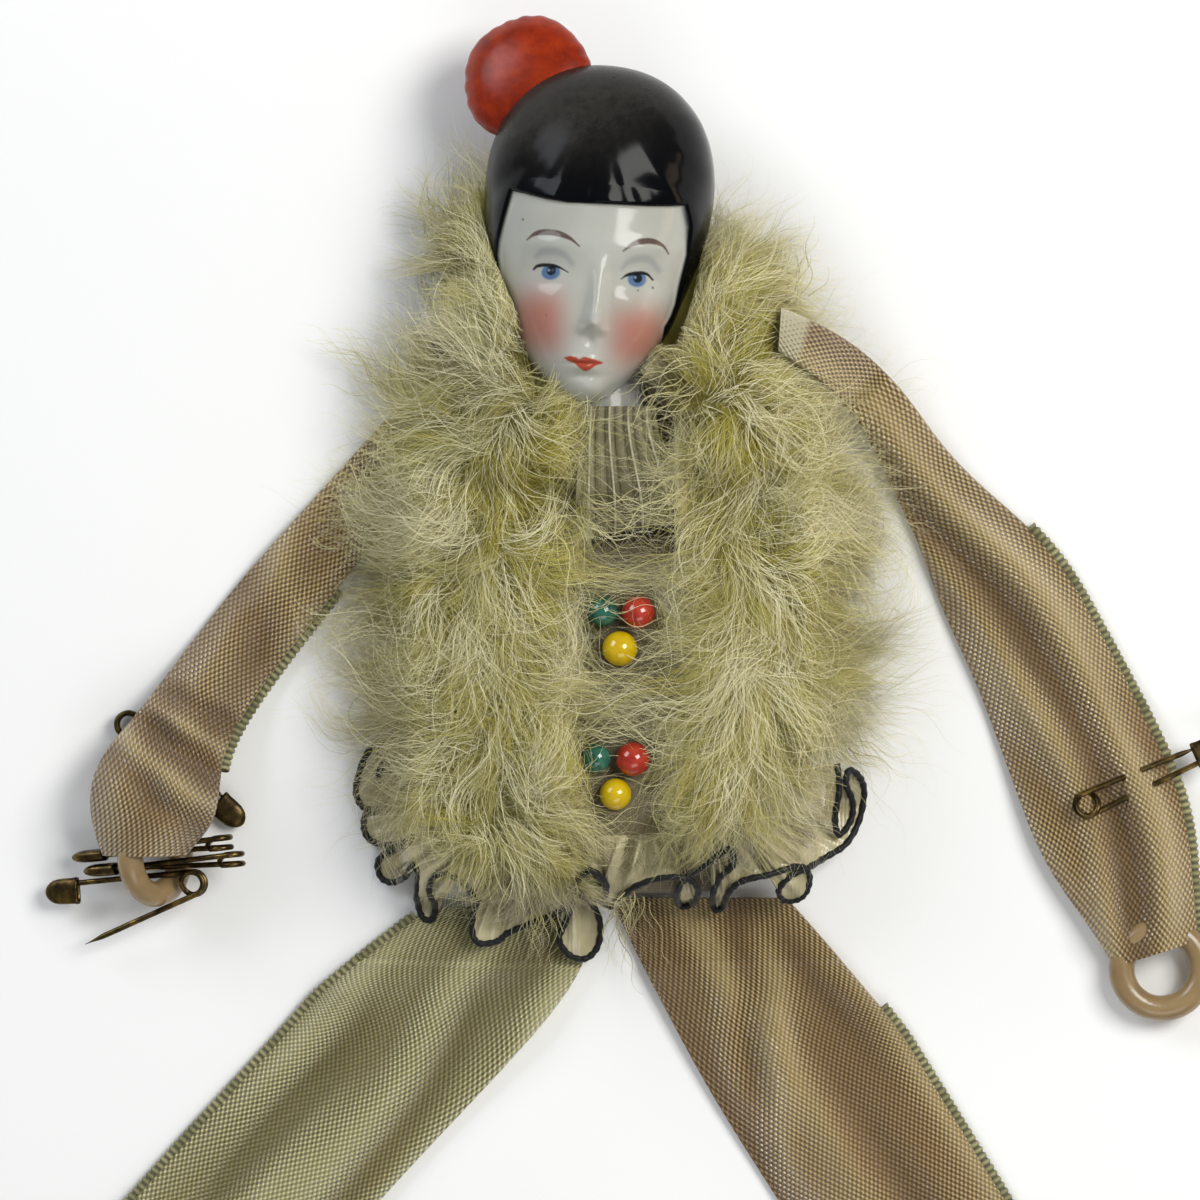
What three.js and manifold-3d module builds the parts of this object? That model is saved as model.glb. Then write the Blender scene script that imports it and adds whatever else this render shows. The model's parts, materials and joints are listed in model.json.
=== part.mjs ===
// Porcelain pierrot pin doll, lying on its back.
// Millimetres, +Z up out of the chest, +Y towards the head, +X to the viewer's right.
// The origin lies on the surface under the doll, at the middle of the flat back of the body.

import * as THREE from 'three';
import { mergeVertices } from 'three/addons/utils/BufferGeometryUtils.js';
import Module from 'manifold-3d';

const wasm = await Module();
wasm.setup();

// Clearances that every neighbour shares
const GAP = 0.3;
const CLOTH = 0.6;

// Stuffed body: a flat-backed pincushion with rounded corners
const BODY_HALF_WIDTH = 24;
const BODY_HALF_LENGTH = 23.5;
const BODY_MIDDLE_Y = -5.5;
const BODY_EDGE_HEIGHT = 2.6;
const BODY_CROWN = 8;
const BODY_SQUARENESS = 4;
const BODY_END = 0.985;
const BACK_MARGIN = 0.8;

// Neck: porcelain stub, cloth sleeve and the thread tied round it
const NECK_X = -0.5;
const NECK_Z = 9;
const NECK_RADIUS = 4.4;
const NECK_FLANGE = 1;
const FLANGE_LENGTH = 1.5;
const SLEEVE_LENGTH = 8.4;
const BINDING_LENGTH = 2.2;
const BINDING_THICKNESS = 0.9;
const NECK_BORE = 3;
const NECK_REACH = 0.4;
const BORE_REACH = 0.5;

// Head: glazed casting with moulded bobbed hair
const HEAD_X = -1.7;
const HEAD_HEIGHT = 38.7;
const HEAD_HALF_WIDTH = 13;
const HEAD_FRONT = 12.4;
const HEAD_BACK = 12;
const HEAD_Z = 12.2;
const CHIN_CLEARANCE = 1.4;
const HEAD_WALL = 2.2;
const CAVITY_HALF_HEIGHT = 0.34;
const CAVITY_CENTRE = 0.55;
const HEAD_ROLL = -5.6;
const HAIR_RELIEF = 0.55;
const FRINGE_HEIGHT = 0.6;
const NOSE_HEIGHT = 0.27;
const NOSE_RISE = 1.8;
const NOSE_SPAN = 0.06;
const FACE_EDGE = 0.35;
const FACE_FLAT = 0.6;
const HEAD_WIDEST = 0.635;
const CROWN_FULLNESS = 2.2;
const JAW_TAPER = 1.65;
const JAW_FULLNESS = 0.53;
const CHIN_FULLNESS = 0.3;
const NAPE_FULLNESS = 0.9;
const CHIN_FORWARD = 2.5;

// Moulded rosette on the side of the crown
const POMPOM_RADIUS = 7.4;
const POMPOM_FRONT = 3.4;
const POMPOM_BACK = 2.6;
const POMPOM_SCALLOPS = 14;
const POMPOM_SCALLOP_DEPTH = 0.35;
const POMPOM_OFFSET_X = -7.7;
const POMPOM_BELOW_CROWN = 1.5;
const POMPOM_Z = 11.4;
const POMPOM_NOD = -12;
const POMPOM_TURN = -14;
// Radius share and depth share, from the middle of the front to the middle of the back
const POMPOM_PROFILE = [
  [0.12, 1],
  [0.5, 0.9],
  [0.82, 0.62],
  [1, 0.12],
  [0.95, -0.3],
  [0.6, -0.85],
  [0.15, -1],
];

// Down trim: two bands on the chest and a flat piece behind the neck
const FUR_THICKNESS = 8;
const FUR_LEFT_INSET = 0.7;
const FUR_LEFT_INNER = 4.7;
const FUR_CHEST_LEFT_HALF = (BODY_HALF_WIDTH - FUR_LEFT_INSET - FUR_LEFT_INNER) / 2;
const FUR_CHEST_LEFT_X = -FUR_LEFT_INNER - FUR_CHEST_LEFT_HALF;
const FUR_COLLAR_LEFT_SHIFT = -7.2;
const FUR_COLLAR_LEFT_HALF = 4.2;
const FUR_COLLAR_LEFT_RISE = 23.65;
const FUR_RIGHT_OVERHANG = 0.9;
const FUR_RIGHT_INNER = 9.7;
const FUR_CHEST_RIGHT_HALF = (BODY_HALF_WIDTH + FUR_RIGHT_OVERHANG - FUR_RIGHT_INNER) / 2;
const FUR_CHEST_RIGHT_X = FUR_RIGHT_INNER + FUR_CHEST_RIGHT_HALF;
const FUR_COLLAR_RIGHT_SHIFT = 0.6;
const FUR_COLLAR_RIGHT_HALF = 3.8;
const FUR_COLLAR_RIGHT_RISE = 18.65;
const FUR_ABOVE_HEM = 2.5;
const FUR_SEAT = 0.9;
const FUR_END_TAPER = 0.85;
const FUR_TURN_START = 2;
const NAPE_HALF_WIDTH = 12;
const NAPE_THICKNESS = 1.5;
const NAPE_DROOP = 0.5;

// Pleated neck frill that hangs under the chin
const FRILL_LEFT = -3.6;
const FRILL_RIGHT = 8;
const FRILL_DROP = 15.2;
const FRILL_PLEATS = 6;
const FRILL_PLEAT_HEIGHT = 0.5;

// Glass beads in two groups of three: centre x, y and radius
const BEAD_BORE = 0.4;
const BEADS = [
  { name: 'bead_upper_green', x: -0.9, y: 4.4, radius: 1.8 },
  { name: 'bead_upper_red', x: 3.2, y: 4.3, radius: 1.95 },
  { name: 'bead_upper_yellow', x: 1.1, y: 0.2, radius: 2.05 },
  { name: 'bead_lower_green', x: -1.6, y: -12.2, radius: 1.75 },
  { name: 'bead_lower_red', x: 2.6, y: -12.3, radius: 2.0 },
  { name: 'bead_lower_yellow', x: 0.6, y: -16.3, radius: 1.85 },
];

// Gathered hem frill round the lower half of the body
const HEM_SEAM = 2 * GAP;
const HEM_WIDTH = 6.7;
const HEM_HEIGHT = 4.3;
const HEM_WAVE = 1.8;
const HEM_WAVES = 14;
const HEM_START_ANGLE = 188;
const HEM_END_ANGLE = 350;

// Ribbon limbs: every limb is sewn on by a short root and bends where it leaves the body.
// Half widths run from the bend over the elbow or knee and the wrist or ankle to the cuff,
// and so do the heights of the folded ribbon.
const LEFT_ARM_LENGTH = 46.6;
const LEFT_ARM_HALVES = [4.4, 5.4, 7.2, 4.8];
const LEFT_ARM_FOLD = 3;
const LEFT_WRIST_PUFF = 6.6;
const LEFT_CUFF_PUFF = 7;
const LEFT_WRIST_LIFT = 2.55;
const LEFT_CUFF_LIFT = 1.6;
const LEFT_SHOULDER_OUT = 4.4;
const LEFT_SHOULDER_DOWN = 0.0475;
const RIGHT_ARM_LENGTH = 70;
const RIGHT_ARM_HALVES = [3.6, 7.2, 8.2, 5.2];
const RIGHT_ARM_FOLD = 2.6;
const RIGHT_WRIST_PUFF = 3;
const RIGHT_SHOULDER_OUT = 9.4;
const RIGHT_SHOULDER_UP = 10.7525;
const LEG_LENGTH = 78;
const LEFT_LEG_HALVES = [10.4, 10.6, 10.2, 5.4];
const RIGHT_LEG_HALVES = [10.8, 11, 10.4, 5.4];
const KNEE_FOLD = 2.4;
const ANKLE_PUFF = 2.8;
const FLAT_CUFF_PUFF = 4.8;
const HIP_LEFT_X = -16;
const HIP_RIGHT_X = 16.2;
const LEG_SEAM_X = 11.6;
const LEG_SEAM_HALF = 9.4;
const ARM_SEAM_LEFT_HALF = 3.6;
const ARM_SEAM_RIGHT_HALF = 2.8;
// From the bend back to the seam under the collar
const ARM_SEAM_LEFT = [7.5, 9];
const ARM_SEAM_RIGHT = [-12.4, 8.2];
const RIBBON_ROOT_THICKNESS = 1.2;
const CUFF_CATCH = 1.9;
const LIMB_SWING = 22;
const ELBOW_STATION = 0.45;
const WRIST_STATION = 0.78;

// Celluloid rings
const RING_RADIUS = 4.6;
const RING_SECTION = 1.5;
const RING_TILT = 55;
const FLAT_RING_HEIGHT = GAP + CLOTH + GAP + RING_SECTION;

// Safety pins
const WIRE = 0.33;
const COIL_RADIUS = 1.32;
const COIL_GAP = 0.46;
const PIN_REACH = 17.6;
const CAP_LENGTH = 4;
const CAP_WALL = 0.25;
const CAP_PLAY = 0.15;
const CAP_HALF_SPREAD = 0.8;
const PIN_OPENING = 22;
const PIN_FURTHER = 12;
const CAP_GRIP = 1;
const PIN_SLOPE = 11;
const SLEEVE_PIN_STATION = 0.74;

const porcelain = { color: 0xe9ecee, roughness: 0.12, metalness: 0 };
const redGlaze = { color: 0xb02508, roughness: 0.2, metalness: 0 };
const down = { color: 0xb4b46a, roughness: 0.95, metalness: 0 };
const champagne = { color: 0xb9a47c, roughness: 0.5, metalness: 0 };
const sheer = { color: 0xd8d2bf, roughness: 0.7, metalness: 0 };
const sleeveRibbon = { color: 0xa48a60, roughness: 0.5, metalness: 0 };
const greenRibbon = { color: 0x9aa777, roughness: 0.5, metalness: 0 };
const cotton = { color: 0xe6dfcc, roughness: 0.95, metalness: 0 };
const thread = { color: 0x4a3b2a, roughness: 0.8, metalness: 0 };
const celluloid = { color: 0xe2cba0, roughness: 0.3, metalness: 0 };
const bronzedWire = { color: 0x4a3c2a, roughness: 0.4, metalness: 0.9 };
const beadColours = { green: 0x2f7f62, red: 0xc8281a, yellow: 0xe9c400 };

const doll = new THREE.Group();
const { smoothstep, degToRad, lerp } = THREE.MathUtils;

// Keeps positions only, with shared corners merged
function weld(geometry) {
  const bare = geometry.index ? geometry.clone() : geometry;
  bare.deleteAttribute('normal');
  bare.deleteAttribute('uv');
  return mergeVertices(bare, 1e-4);
}

function toSolid(geometry) {
  const welded = weld(geometry);
  const vertProperties = Float32Array.from(welded.attributes.position.array);
  const triVerts = Uint32Array.from(welded.index.array);
  return new wasm.Manifold(new wasm.Mesh({ numProp: 3, vertProperties, triVerts }));
}

function toGeometry(solid) {
  const mesh = solid.getMesh();
  const geometry = new THREE.BufferGeometry();
  geometry.setAttribute('position', new THREE.BufferAttribute(mesh.vertProperties, 3));
  geometry.setIndex(Array.from(mesh.triVerts));
  return geometry;
}

function add(name, geometry, finish, parent = doll) {
  const material = new THREE.MeshStandardMaterial(finish);
  const mesh = new THREE.Mesh(geometry, material);
  mesh.name = name;
  parent.add(mesh);
  return mesh;
}

// Six times the enclosed volume: negative when the faces point inwards
function signedVolume(points, index) {
  let sum = 0;
  for (let k = 0; k < index.length; k += 3) {
    const a = points[index[k]];
    const b = points[index[k + 1]];
    const c = points[index[k + 2]];
    sum += a.dot(b.clone().cross(c));
  }
  return sum;
}

function closedGeometry(points, index) {
  const facing = signedVolume(points, index) < 0 ? index.slice().reverse() : index;
  const geometry = new THREE.BufferGeometry().setFromPoints(points);
  geometry.setIndex(facing);
  return geometry;
}

// A closed solid between a lower and an upper surface over a grid of rows and columns.
// place(u, v) gives the plan position and the two heights.
function slab(rows, columns, place) {
  const points = [];
  const across = columns + 1;
  for (const side of ['low', 'high']) {
    for (let i = 0; i <= rows; i += 1) {
      for (let j = 0; j <= columns; j += 1) {
        const spot = place(i / rows, j / columns);
        points.push(new THREE.Vector3(spot.x, spot.y, spot[side]));
      }
    }
  }
  const layer = (rows + 1) * across;
  const index = [];
  const quad = (a, b, c, d) => index.push(a, b, c, a, c, d);
  for (let i = 0; i < rows; i += 1) {
    for (let j = 0; j < columns; j += 1) {
      const a = i * across + j;
      quad(a, a + across, a + across + 1, a + 1);
      quad(layer + a, layer + a + 1, layer + a + across + 1, layer + a + across);
    }
  }
  const edge = [];
  for (let j = 0; j < columns; j += 1) edge.push(j);
  for (let i = 0; i < rows; i += 1) edge.push(i * across + columns);
  for (let j = columns; j > 0; j -= 1) edge.push(rows * across + j);
  for (let i = rows; i > 0; i -= 1) edge.push(i * across);
  edge.forEach((from, k) => {
    const to = edge[(k + 1) % edge.length];
    quad(from, to, layer + to, layer + from);
  });
  return closedGeometry(points, index);
}

// A closed solid through a stack of rings with equal counts, closed by a fan at each end
function loft(rings) {
  const points = rings.flat();
  const count = rings[0].length;
  const index = [];
  for (let i = 0; i < rings.length - 1; i += 1) {
    for (let j = 0; j < count; j += 1) {
      const a = i * count + j;
      const b = i * count + (j + 1) % count;
      index.push(a, b, b + count, a, b + count, a + count);
    }
  }
  const centre = (ring) => ring.reduce((sum, p) => sum.add(p), new THREE.Vector3()).divideScalar(count);
  const first = points.push(centre(rings[0])) - 1;
  const last = points.push(centre(rings[rings.length - 1])) - 1;
  const top = (rings.length - 1) * count;
  for (let j = 0; j < count; j += 1) {
    const next = (j + 1) % count;
    index.push(first, next, j);
    index.push(last, top + j, top + next);
  }
  return closedGeometry(points, index);
}

// A round bar along a path
function bar(path, radius, steps, sides) {
  const section = new THREE.Shape();
  for (let k = 0; k < sides; k += 1) {
    const angle = (2 * Math.PI * k) / sides;
    const x = radius * Math.cos(angle);
    const y = radius * Math.sin(angle);
    if (k === 0) section.moveTo(x, y);
    else section.lineTo(x, y);
  }
  section.closePath();
  return weld(new THREE.ExtrudeGeometry(section, { steps, extrudePath: path, bevelEnabled: false }));
}

// Stuffed body and its cover

const bodyTop = BODY_MIDDLE_Y + BODY_HALF_LENGTH * BODY_END;
const bodyBottom = BODY_MIDDLE_Y - BODY_HALF_LENGTH * BODY_END;
const padBase = CLOTH + GAP;

function bodyHalfWidth(y, grow = 0) {
  const t = Math.min(Math.abs(y - BODY_MIDDLE_Y) / (BODY_HALF_LENGTH + grow), BODY_END);
  return (BODY_HALF_WIDTH + grow) * (1 - t ** BODY_SQUARENESS) ** (1 / BODY_SQUARENESS);
}

function padTop(x, y) {
  const along = Math.min(Math.abs(y - BODY_MIDDLE_Y) / BODY_HALF_LENGTH, 1);
  const across = Math.min(Math.abs(x) / BODY_HALF_WIDTH, 1);
  const dome = Math.sqrt((1 - along ** 4) * (1 - across ** 3));
  return padBase + BODY_EDGE_HEIGHT + BODY_CROWN * dome;
}

const coverTop = (x, y) => padTop(x, y) + GAP + CLOTH;

function bodySlab(rows, columns, grow, low, high) {
  return slab(rows, columns, (u, v) => {
    const reach = (BODY_HALF_LENGTH + grow) * BODY_END;
    const y = BODY_MIDDLE_Y - reach * Math.cos(Math.PI * u);
    const x = bodyHalfWidth(y, grow) * (2 * v - 1);
    return { x, y, low: low(x, y), high: high(x, y) };
  });
}

add('cover_back', bodySlab(16, 1, BACK_MARGIN, () => 0, () => CLOTH), champagne);
add('stuffing_pad', bodySlab(10, 8, 0, () => padBase, padTop), cotton);
add('cover_front', bodySlab(10, 8, 0, (x, y) => padTop(x, y) + GAP, coverTop), champagne);

// Neck sleeve, binding and the head on its neck

const sleeveStart = bodyTop + GAP;
const sleeveEnd = sleeveStart + SLEEVE_LENGTH;
const tieY = sleeveStart + SLEEVE_LENGTH / 2;
const tieHalf = BINDING_LENGTH / 2;
const flangeEnd = sleeveStart + GAP + FLANGE_LENGTH;

function turned(profile, segments) {
  const outline = profile.map(([radius, y]) => new THREE.Vector2(radius, y));
  const geometry = weld(new THREE.LatheGeometry(outline, segments));
  return geometry.translate(NECK_X, 0, NECK_Z);
}

const sleeveInner = NECK_RADIUS + GAP;
const sleeveWide = NECK_RADIUS + NECK_FLANGE + GAP;
add('neck_sleeve', turned([
  [sleeveWide, sleeveStart],
  [sleeveWide + CLOTH, sleeveStart],
  [sleeveWide + CLOTH, flangeEnd],
  [sleeveInner + CLOTH, tieY - tieHalf],
  [sleeveInner + CLOTH, tieY + tieHalf],
  [sleeveInner + CLOTH + GAP, sleeveEnd],
  [sleeveInner + GAP, sleeveEnd],
  [sleeveInner, tieY + tieHalf],
  [sleeveInner, tieY - tieHalf],
  [sleeveWide, flangeEnd + GAP],
  [sleeveWide, sleeveStart],
], 14), champagne);

const bindingInner = sleeveInner + CLOTH + GAP;
const bindingOuter = bindingInner + BINDING_THICKNESS;
add('neck_binding', turned([
  [bindingInner, tieY - tieHalf],
  [bindingOuter, tieY - tieHalf],
  [bindingOuter, tieY + tieHalf],
  [bindingInner, tieY + tieHalf],
  [bindingInner, tieY - tieHalf],
], 14), thread);

const chinY = sleeveEnd + CHIN_CLEARANCE;

// Outline of the head at a height t, 0 at the chin and 1 at the crown, pushed out by grow
function headRing(t, grow, count = 32) {
  const crown = (1 - ((t - HEAD_WIDEST) / (1 - HEAD_WIDEST)) ** CROWN_FULLNESS) ** (1 / CROWN_FULLNESS);
  const jaw = 1 - (1 - t / HEAD_WIDEST) ** JAW_TAPER;
  const upper = t > HEAD_WIDEST;
  const full = upper ? crown : jaw ** JAW_FULLNESS;
  const halfWidth = HEAD_HALF_WIDTH * Math.max(full, 0.05) + grow;
  const front = HEAD_FRONT * Math.max(upper ? crown : jaw ** CHIN_FULLNESS, 0.05) + grow;
  const back = HEAD_BACK * Math.max(upper ? crown : jaw ** NAPE_FULLNESS, 0.05) + grow;
  const chinForward = upper ? 0 : CHIN_FORWARD * (1 - t / HEAD_WIDEST);
  const ring = [];
  for (let k = 0; k < count; k += 1) {
    const angle = (2 * Math.PI * k) / count;
    const side = Math.cos(angle);
    const depth = Math.sin(angle);
    const belowFringe = 1 - smoothstep(t, FRINGE_HEIGHT - 0.02, FRINGE_HEIGHT);
    const faceBand = smoothstep(depth, FACE_EDGE, FACE_FLAT) * belowFringe;
    const nose = smoothstep(depth, 0.93, 1) * Math.exp(-(((t - NOSE_HEIGHT) / NOSE_SPAN) ** 2));
    const relief = nose * NOSE_RISE - faceBand * HAIR_RELIEF;
    const reach = depth > 0 ? front : back;
    ring.push(new THREE.Vector3(
      side * (halfWidth - faceBand * HAIR_RELIEF),
      t * HEAD_HEIGHT + (t > 0.5 ? grow : -grow),
      depth * (reach + relief) + chinForward,
    ));
  }
  return ring;
}

function headForm(grow, ringCount = 20) {
  const rings = [];
  for (let k = 0; k <= ringCount; k += 1) {
    const t = 0.5 - 0.5 * Math.cos((Math.PI * k) / ringCount);
    rings.push(headRing(Math.min(Math.max(t, 0.004), 0.997), grow));
  }
  const geometry = loft(rings);
  geometry.translate(0, -HEAD_HEIGHT / 2, 0);
  geometry.rotateZ(degToRad(HEAD_ROLL));
  geometry.translate(HEAD_X, chinY + HEAD_HEIGHT / 2, HEAD_Z);
  return geometry;
}

function neckSolid(radius, from, to, sides = 16) {
  const geometry = new THREE.CylinderGeometry(radius, radius, to - from, sides);
  geometry.translate(NECK_X, (from + to) / 2, NECK_Z);
  return toSolid(geometry);
}

const neckBottom = sleeveStart + GAP;
const neckTop = chinY + HEAD_HEIGHT * NECK_REACH;
const boreTop = chinY + HEAD_HEIGHT * BORE_REACH;
const cavity = new THREE.SphereGeometry(1, 14, 10);
cavity.scale(HEAD_HALF_WIDTH - HEAD_WALL, HEAD_HEIGHT * CAVITY_HALF_HEIGHT, HEAD_FRONT - HEAD_WALL);
cavity.translate(HEAD_X, chinY + HEAD_HEIGHT * CAVITY_CENTRE, HEAD_Z);
const headSolid = toSolid(headForm(0))
  .add(neckSolid(NECK_RADIUS, neckBottom, neckTop))
  .add(neckSolid(NECK_RADIUS + NECK_FLANGE, neckBottom, neckBottom + FLANGE_LENGTH))
  .subtract(toSolid(cavity))
  .subtract(neckSolid(NECK_BORE, neckBottom - 1, boreTop, 12));
add('porcelain_head', toGeometry(headSolid), porcelain);

// Rosette: a scalloped disc with a domed front, cut to seat against the hair
function pompomForm() {
  const rings = [];
  const count = POMPOM_SCALLOPS * 3;
  for (const [share, depth] of POMPOM_PROFILE) {
    const ring = [];
    for (let k = 0; k < count; k += 1) {
      const angle = (2 * Math.PI * k) / count;
      const scallop = POMPOM_SCALLOP_DEPTH * Math.cos(POMPOM_SCALLOPS * angle) * share ** 3;
      const radius = POMPOM_RADIUS * share + scallop;
      const height = depth * (depth > 0 ? POMPOM_FRONT : POMPOM_BACK);
      ring.push(new THREE.Vector3(radius * Math.cos(angle), radius * Math.sin(angle), height));
    }
    rings.push(ring);
  }
  return loft(rings);
}

const pompom = pompomForm();
pompom.rotateX(degToRad(POMPOM_NOD));
pompom.rotateY(degToRad(POMPOM_TURN));
pompom.translate(HEAD_X + POMPOM_OFFSET_X, chinY + HEAD_HEIGHT - POMPOM_BELOW_CROWN, POMPOM_Z);
const pompomPieces = toSolid(pompom).subtract(toSolid(headForm(GAP, 18))).decompose();
pompomPieces.sort((a, b) => b.volume() - a.volume());
add('pompom', toGeometry(pompomPieces[0]), redGlaze);

// Down trim

function furBand(chestX, chestHalf, collarShift, collarHalf, collarRise) {
  const bottom = bodyBottom + FUR_ABOVE_HEM;
  const top = sleeveEnd + collarRise;
  return slab(24, 8, (u, v) => {
    const y = lerp(bottom, top, u);
    const climb = smoothstep(y, FUR_TURN_START, sleeveEnd - 1);
    const across = 2 * v - 1;
    const taper = Math.sqrt(1 - FUR_END_TAPER * (2 * u - 1) ** 6);
    const x = chestX + collarShift * climb + across * lerp(chestHalf, collarHalf, climb) * taper;
    const low = coverTop(x, y) + FUR_SEAT;
    const rise = FUR_THICKNESS * Math.sqrt(1 - across ** 2) * taper;
    return { x, y, low, high: low + CLOTH + rise };
  });
}

add('fur_left', furBand(
  FUR_CHEST_LEFT_X,
  FUR_CHEST_LEFT_HALF,
  FUR_COLLAR_LEFT_SHIFT,
  FUR_COLLAR_LEFT_HALF,
  FUR_COLLAR_LEFT_RISE,
), down);
add('fur_right', furBand(
  FUR_CHEST_RIGHT_X,
  FUR_CHEST_RIGHT_HALF,
  FUR_COLLAR_RIGHT_SHIFT,
  FUR_COLLAR_RIGHT_HALF,
  FUR_COLLAR_RIGHT_RISE,
), down);

const sleeveRadius = sleeveWide + CLOTH;
const napeTop = NECK_Z - sleeveRadius - GAP;
add('fur_nape', slab(4, 8, (u, v) => {
  const across = 2 * v - 1;
  const y = lerp(sleeveStart + GAP, sleeveEnd + CHIN_CLEARANCE, u);
  const droop = NAPE_DROOP * across ** 2;
  return {
    x: NECK_X + across * NAPE_HALF_WIDTH,
    y,
    low: napeTop - NAPE_THICKNESS,
    high: napeTop - droop,
  };
}), down);

// Pleated neck frill
const frillTop = sleeveEnd;
const frillBottom = frillTop - FRILL_DROP;
const frillSeat = NECK_Z + sleeveRadius + GAP;
add('neck_frill', slab(5, FRILL_PLEATS * 4, (u, v) => {
  const y = lerp(frillTop, frillBottom, u);
  const x = lerp(FRILL_LEFT, FRILL_RIGHT, v);
  const middle = (FRILL_LEFT + FRILL_RIGHT) / 2;
  const start = coverTop(middle, frillBottom) + 2 * GAP;
  const seat = lerp(start, frillSeat, smoothstep(y, frillBottom, sleeveStart));
  const pleat = FRILL_PLEAT_HEIGHT * (1 - Math.cos(2 * Math.PI * FRILL_PLEATS * v)) * 0.5;
  return { x, y, low: seat + pleat, high: seat + pleat + CLOTH };
}), sheer);

// Beads, each with its bore upright, seated on the front cover
for (const bead of BEADS) {
  const profile = [];
  const steps = 6;
  const start = Math.asin(BEAD_BORE / bead.radius);
  for (let k = 0; k <= steps; k += 1) {
    const angle = lerp(start, Math.PI - start, k / steps);
    profile.push(new THREE.Vector2(bead.radius * Math.sin(angle), -bead.radius * Math.cos(angle)));
  }
  profile.push(profile[0].clone());
  const geometry = weld(new THREE.LatheGeometry(profile, 10));
  geometry.rotateX(Math.PI / 2);
  geometry.translate(bead.x, bead.y, coverTop(bead.x, bead.y) + GAP + bead.radius);
  const colour = beadColours[bead.name.split('_')[2]];
  add(bead.name, geometry, { color: colour, roughness: 0.1, metalness: 0 });
}

// Hem frill: its inner edge follows the body and its outer edge waves
function hemPoint(angle, grow) {
  const c = Math.cos(angle);
  const s = Math.sin(angle);
  const bend = 2 / BODY_SQUARENESS;
  return new THREE.Vector2(
    Math.sign(c) * Math.abs(c) ** bend * (BODY_HALF_WIDTH + grow),
    BODY_MIDDLE_Y + Math.sign(s) * Math.abs(s) ** bend * (BODY_HALF_LENGTH + grow),
  );
}

add('hem_frill', slab(HEM_WAVES * 6, 2, (u, v) => {
  const angle = degToRad(lerp(HEM_START_ANGLE, HEM_END_ANGLE, u));
  const spot = hemPoint(angle, HEM_SEAM + HEM_WIDTH * v);
  const wave = HEM_WAVE * v * Math.sin(2 * Math.PI * HEM_WAVES * u);
  const low = HEM_HEIGHT - CLOTH / 2 + wave;
  return { x: spot.x, y: spot.y, low, high: low + CLOTH };
}), champagne);

// Ribbon limbs. A heading is measured from straight down the page, positive to the right.

const down2 = (heading) => new THREE.Vector2(Math.sin(heading), -Math.cos(heading));
const across2 = (heading) => new THREE.Vector2(Math.cos(heading), Math.sin(heading));
const hemEdge = bodyBottom - HEM_SEAM - HEM_WIDTH;
const hipY = hemEdge - 2 * GAP;


// Each arm's gathered end is sewn to the underside of the down collar
const collarUnderside = padBase + BODY_EDGE_HEIGHT + GAP + CLOTH + FUR_SEAT;
const collarTuck = collarUnderside - GAP - RIBBON_ROOT_THICKNESS - GAP;

const leftShoulder = [-BODY_HALF_WIDTH - LEFT_SHOULDER_OUT, bodyTop - LEFT_SHOULDER_DOWN];
const rightShoulder = [BODY_HALF_WIDTH + RIGHT_SHOULDER_OUT, bodyTop + RIGHT_SHOULDER_UP];
const legSeamY = bodyBottom - BACK_MARGIN - GAP;
const flatSeat = [GAP, GAP, GAP, GAP];

const LIMBS = [
  {
    name: 'arm_left',
    finish: sleeveRibbon,
    hinge: leftShoulder,
    hingeRow: -40,
    heading: [-40, 0],
    turnLate: 3.5,
    length: LEFT_ARM_LENGTH,
    half: LEFT_ARM_HALVES,
    ringTilt: RING_TILT,
    crown: [RIBBON_ROOT_THICKNESS, LEFT_ARM_FOLD, LEFT_WRIST_PUFF, LEFT_CUFF_PUFF],
    seat: [GAP, GAP, LEFT_WRIST_LIFT, LEFT_CUFF_LIFT],
    root: [leftShoulder[0] + ARM_SEAM_LEFT[0], leftShoulder[1] + ARM_SEAM_LEFT[1]],
    rootHalf: ARM_SEAM_LEFT_HALF,
    rootRow: -40,
    rootRise: collarTuck,
  },
  {
    name: 'arm_right',
    finish: sleeveRibbon,
    hinge: rightShoulder,
    hingeRow: 32,
    heading: [32, 18],
    turnLate: 1,
    length: RIGHT_ARM_LENGTH,
    half: RIGHT_ARM_HALVES,
    ringTilt: 0,
    crown: [RIBBON_ROOT_THICKNESS, RIGHT_ARM_FOLD, RIGHT_WRIST_PUFF, FLAT_CUFF_PUFF],
    seat: flatSeat,
    root: [rightShoulder[0] + ARM_SEAM_RIGHT[0], rightShoulder[1] + ARM_SEAM_RIGHT[1]],
    rootHalf: ARM_SEAM_RIGHT_HALF,
    rootRow: 56,
    rootRise: collarTuck,
  },
  {
    name: 'leg_left',
    finish: greenRibbon,
    hinge: [HIP_LEFT_X, hipY],
    hingeRow: 0,
    heading: [-42.6, -42.6],
    turnLate: 1,
    length: LEG_LENGTH,
    half: LEFT_LEG_HALVES,
    ringTilt: 0,
    crown: [RIBBON_ROOT_THICKNESS, KNEE_FOLD, ANKLE_PUFF, FLAT_CUFF_PUFF],
    seat: flatSeat,
    root: [-LEG_SEAM_X, legSeamY],
    rootHalf: LEG_SEAM_HALF,
    rootRow: 0,
    rootRise: 0,
  },
  {
    name: 'leg_right',
    finish: sleeveRibbon,
    hinge: [HIP_RIGHT_X, hipY],
    hingeRow: 0,
    heading: [32.2, 32.2],
    turnLate: 1,
    length: LEG_LENGTH,
    half: RIGHT_LEG_HALVES,
    ringTilt: 0,
    crown: [RIBBON_ROOT_THICKNESS, KNEE_FOLD, ANKLE_PUFF, FLAT_CUFF_PUFF],
    seat: flatSeat,
    root: [LEG_SEAM_X, legSeamY],
    rootHalf: LEG_SEAM_HALF,
    rootRow: 0,
    rootRise: 0,
  },
];

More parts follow.
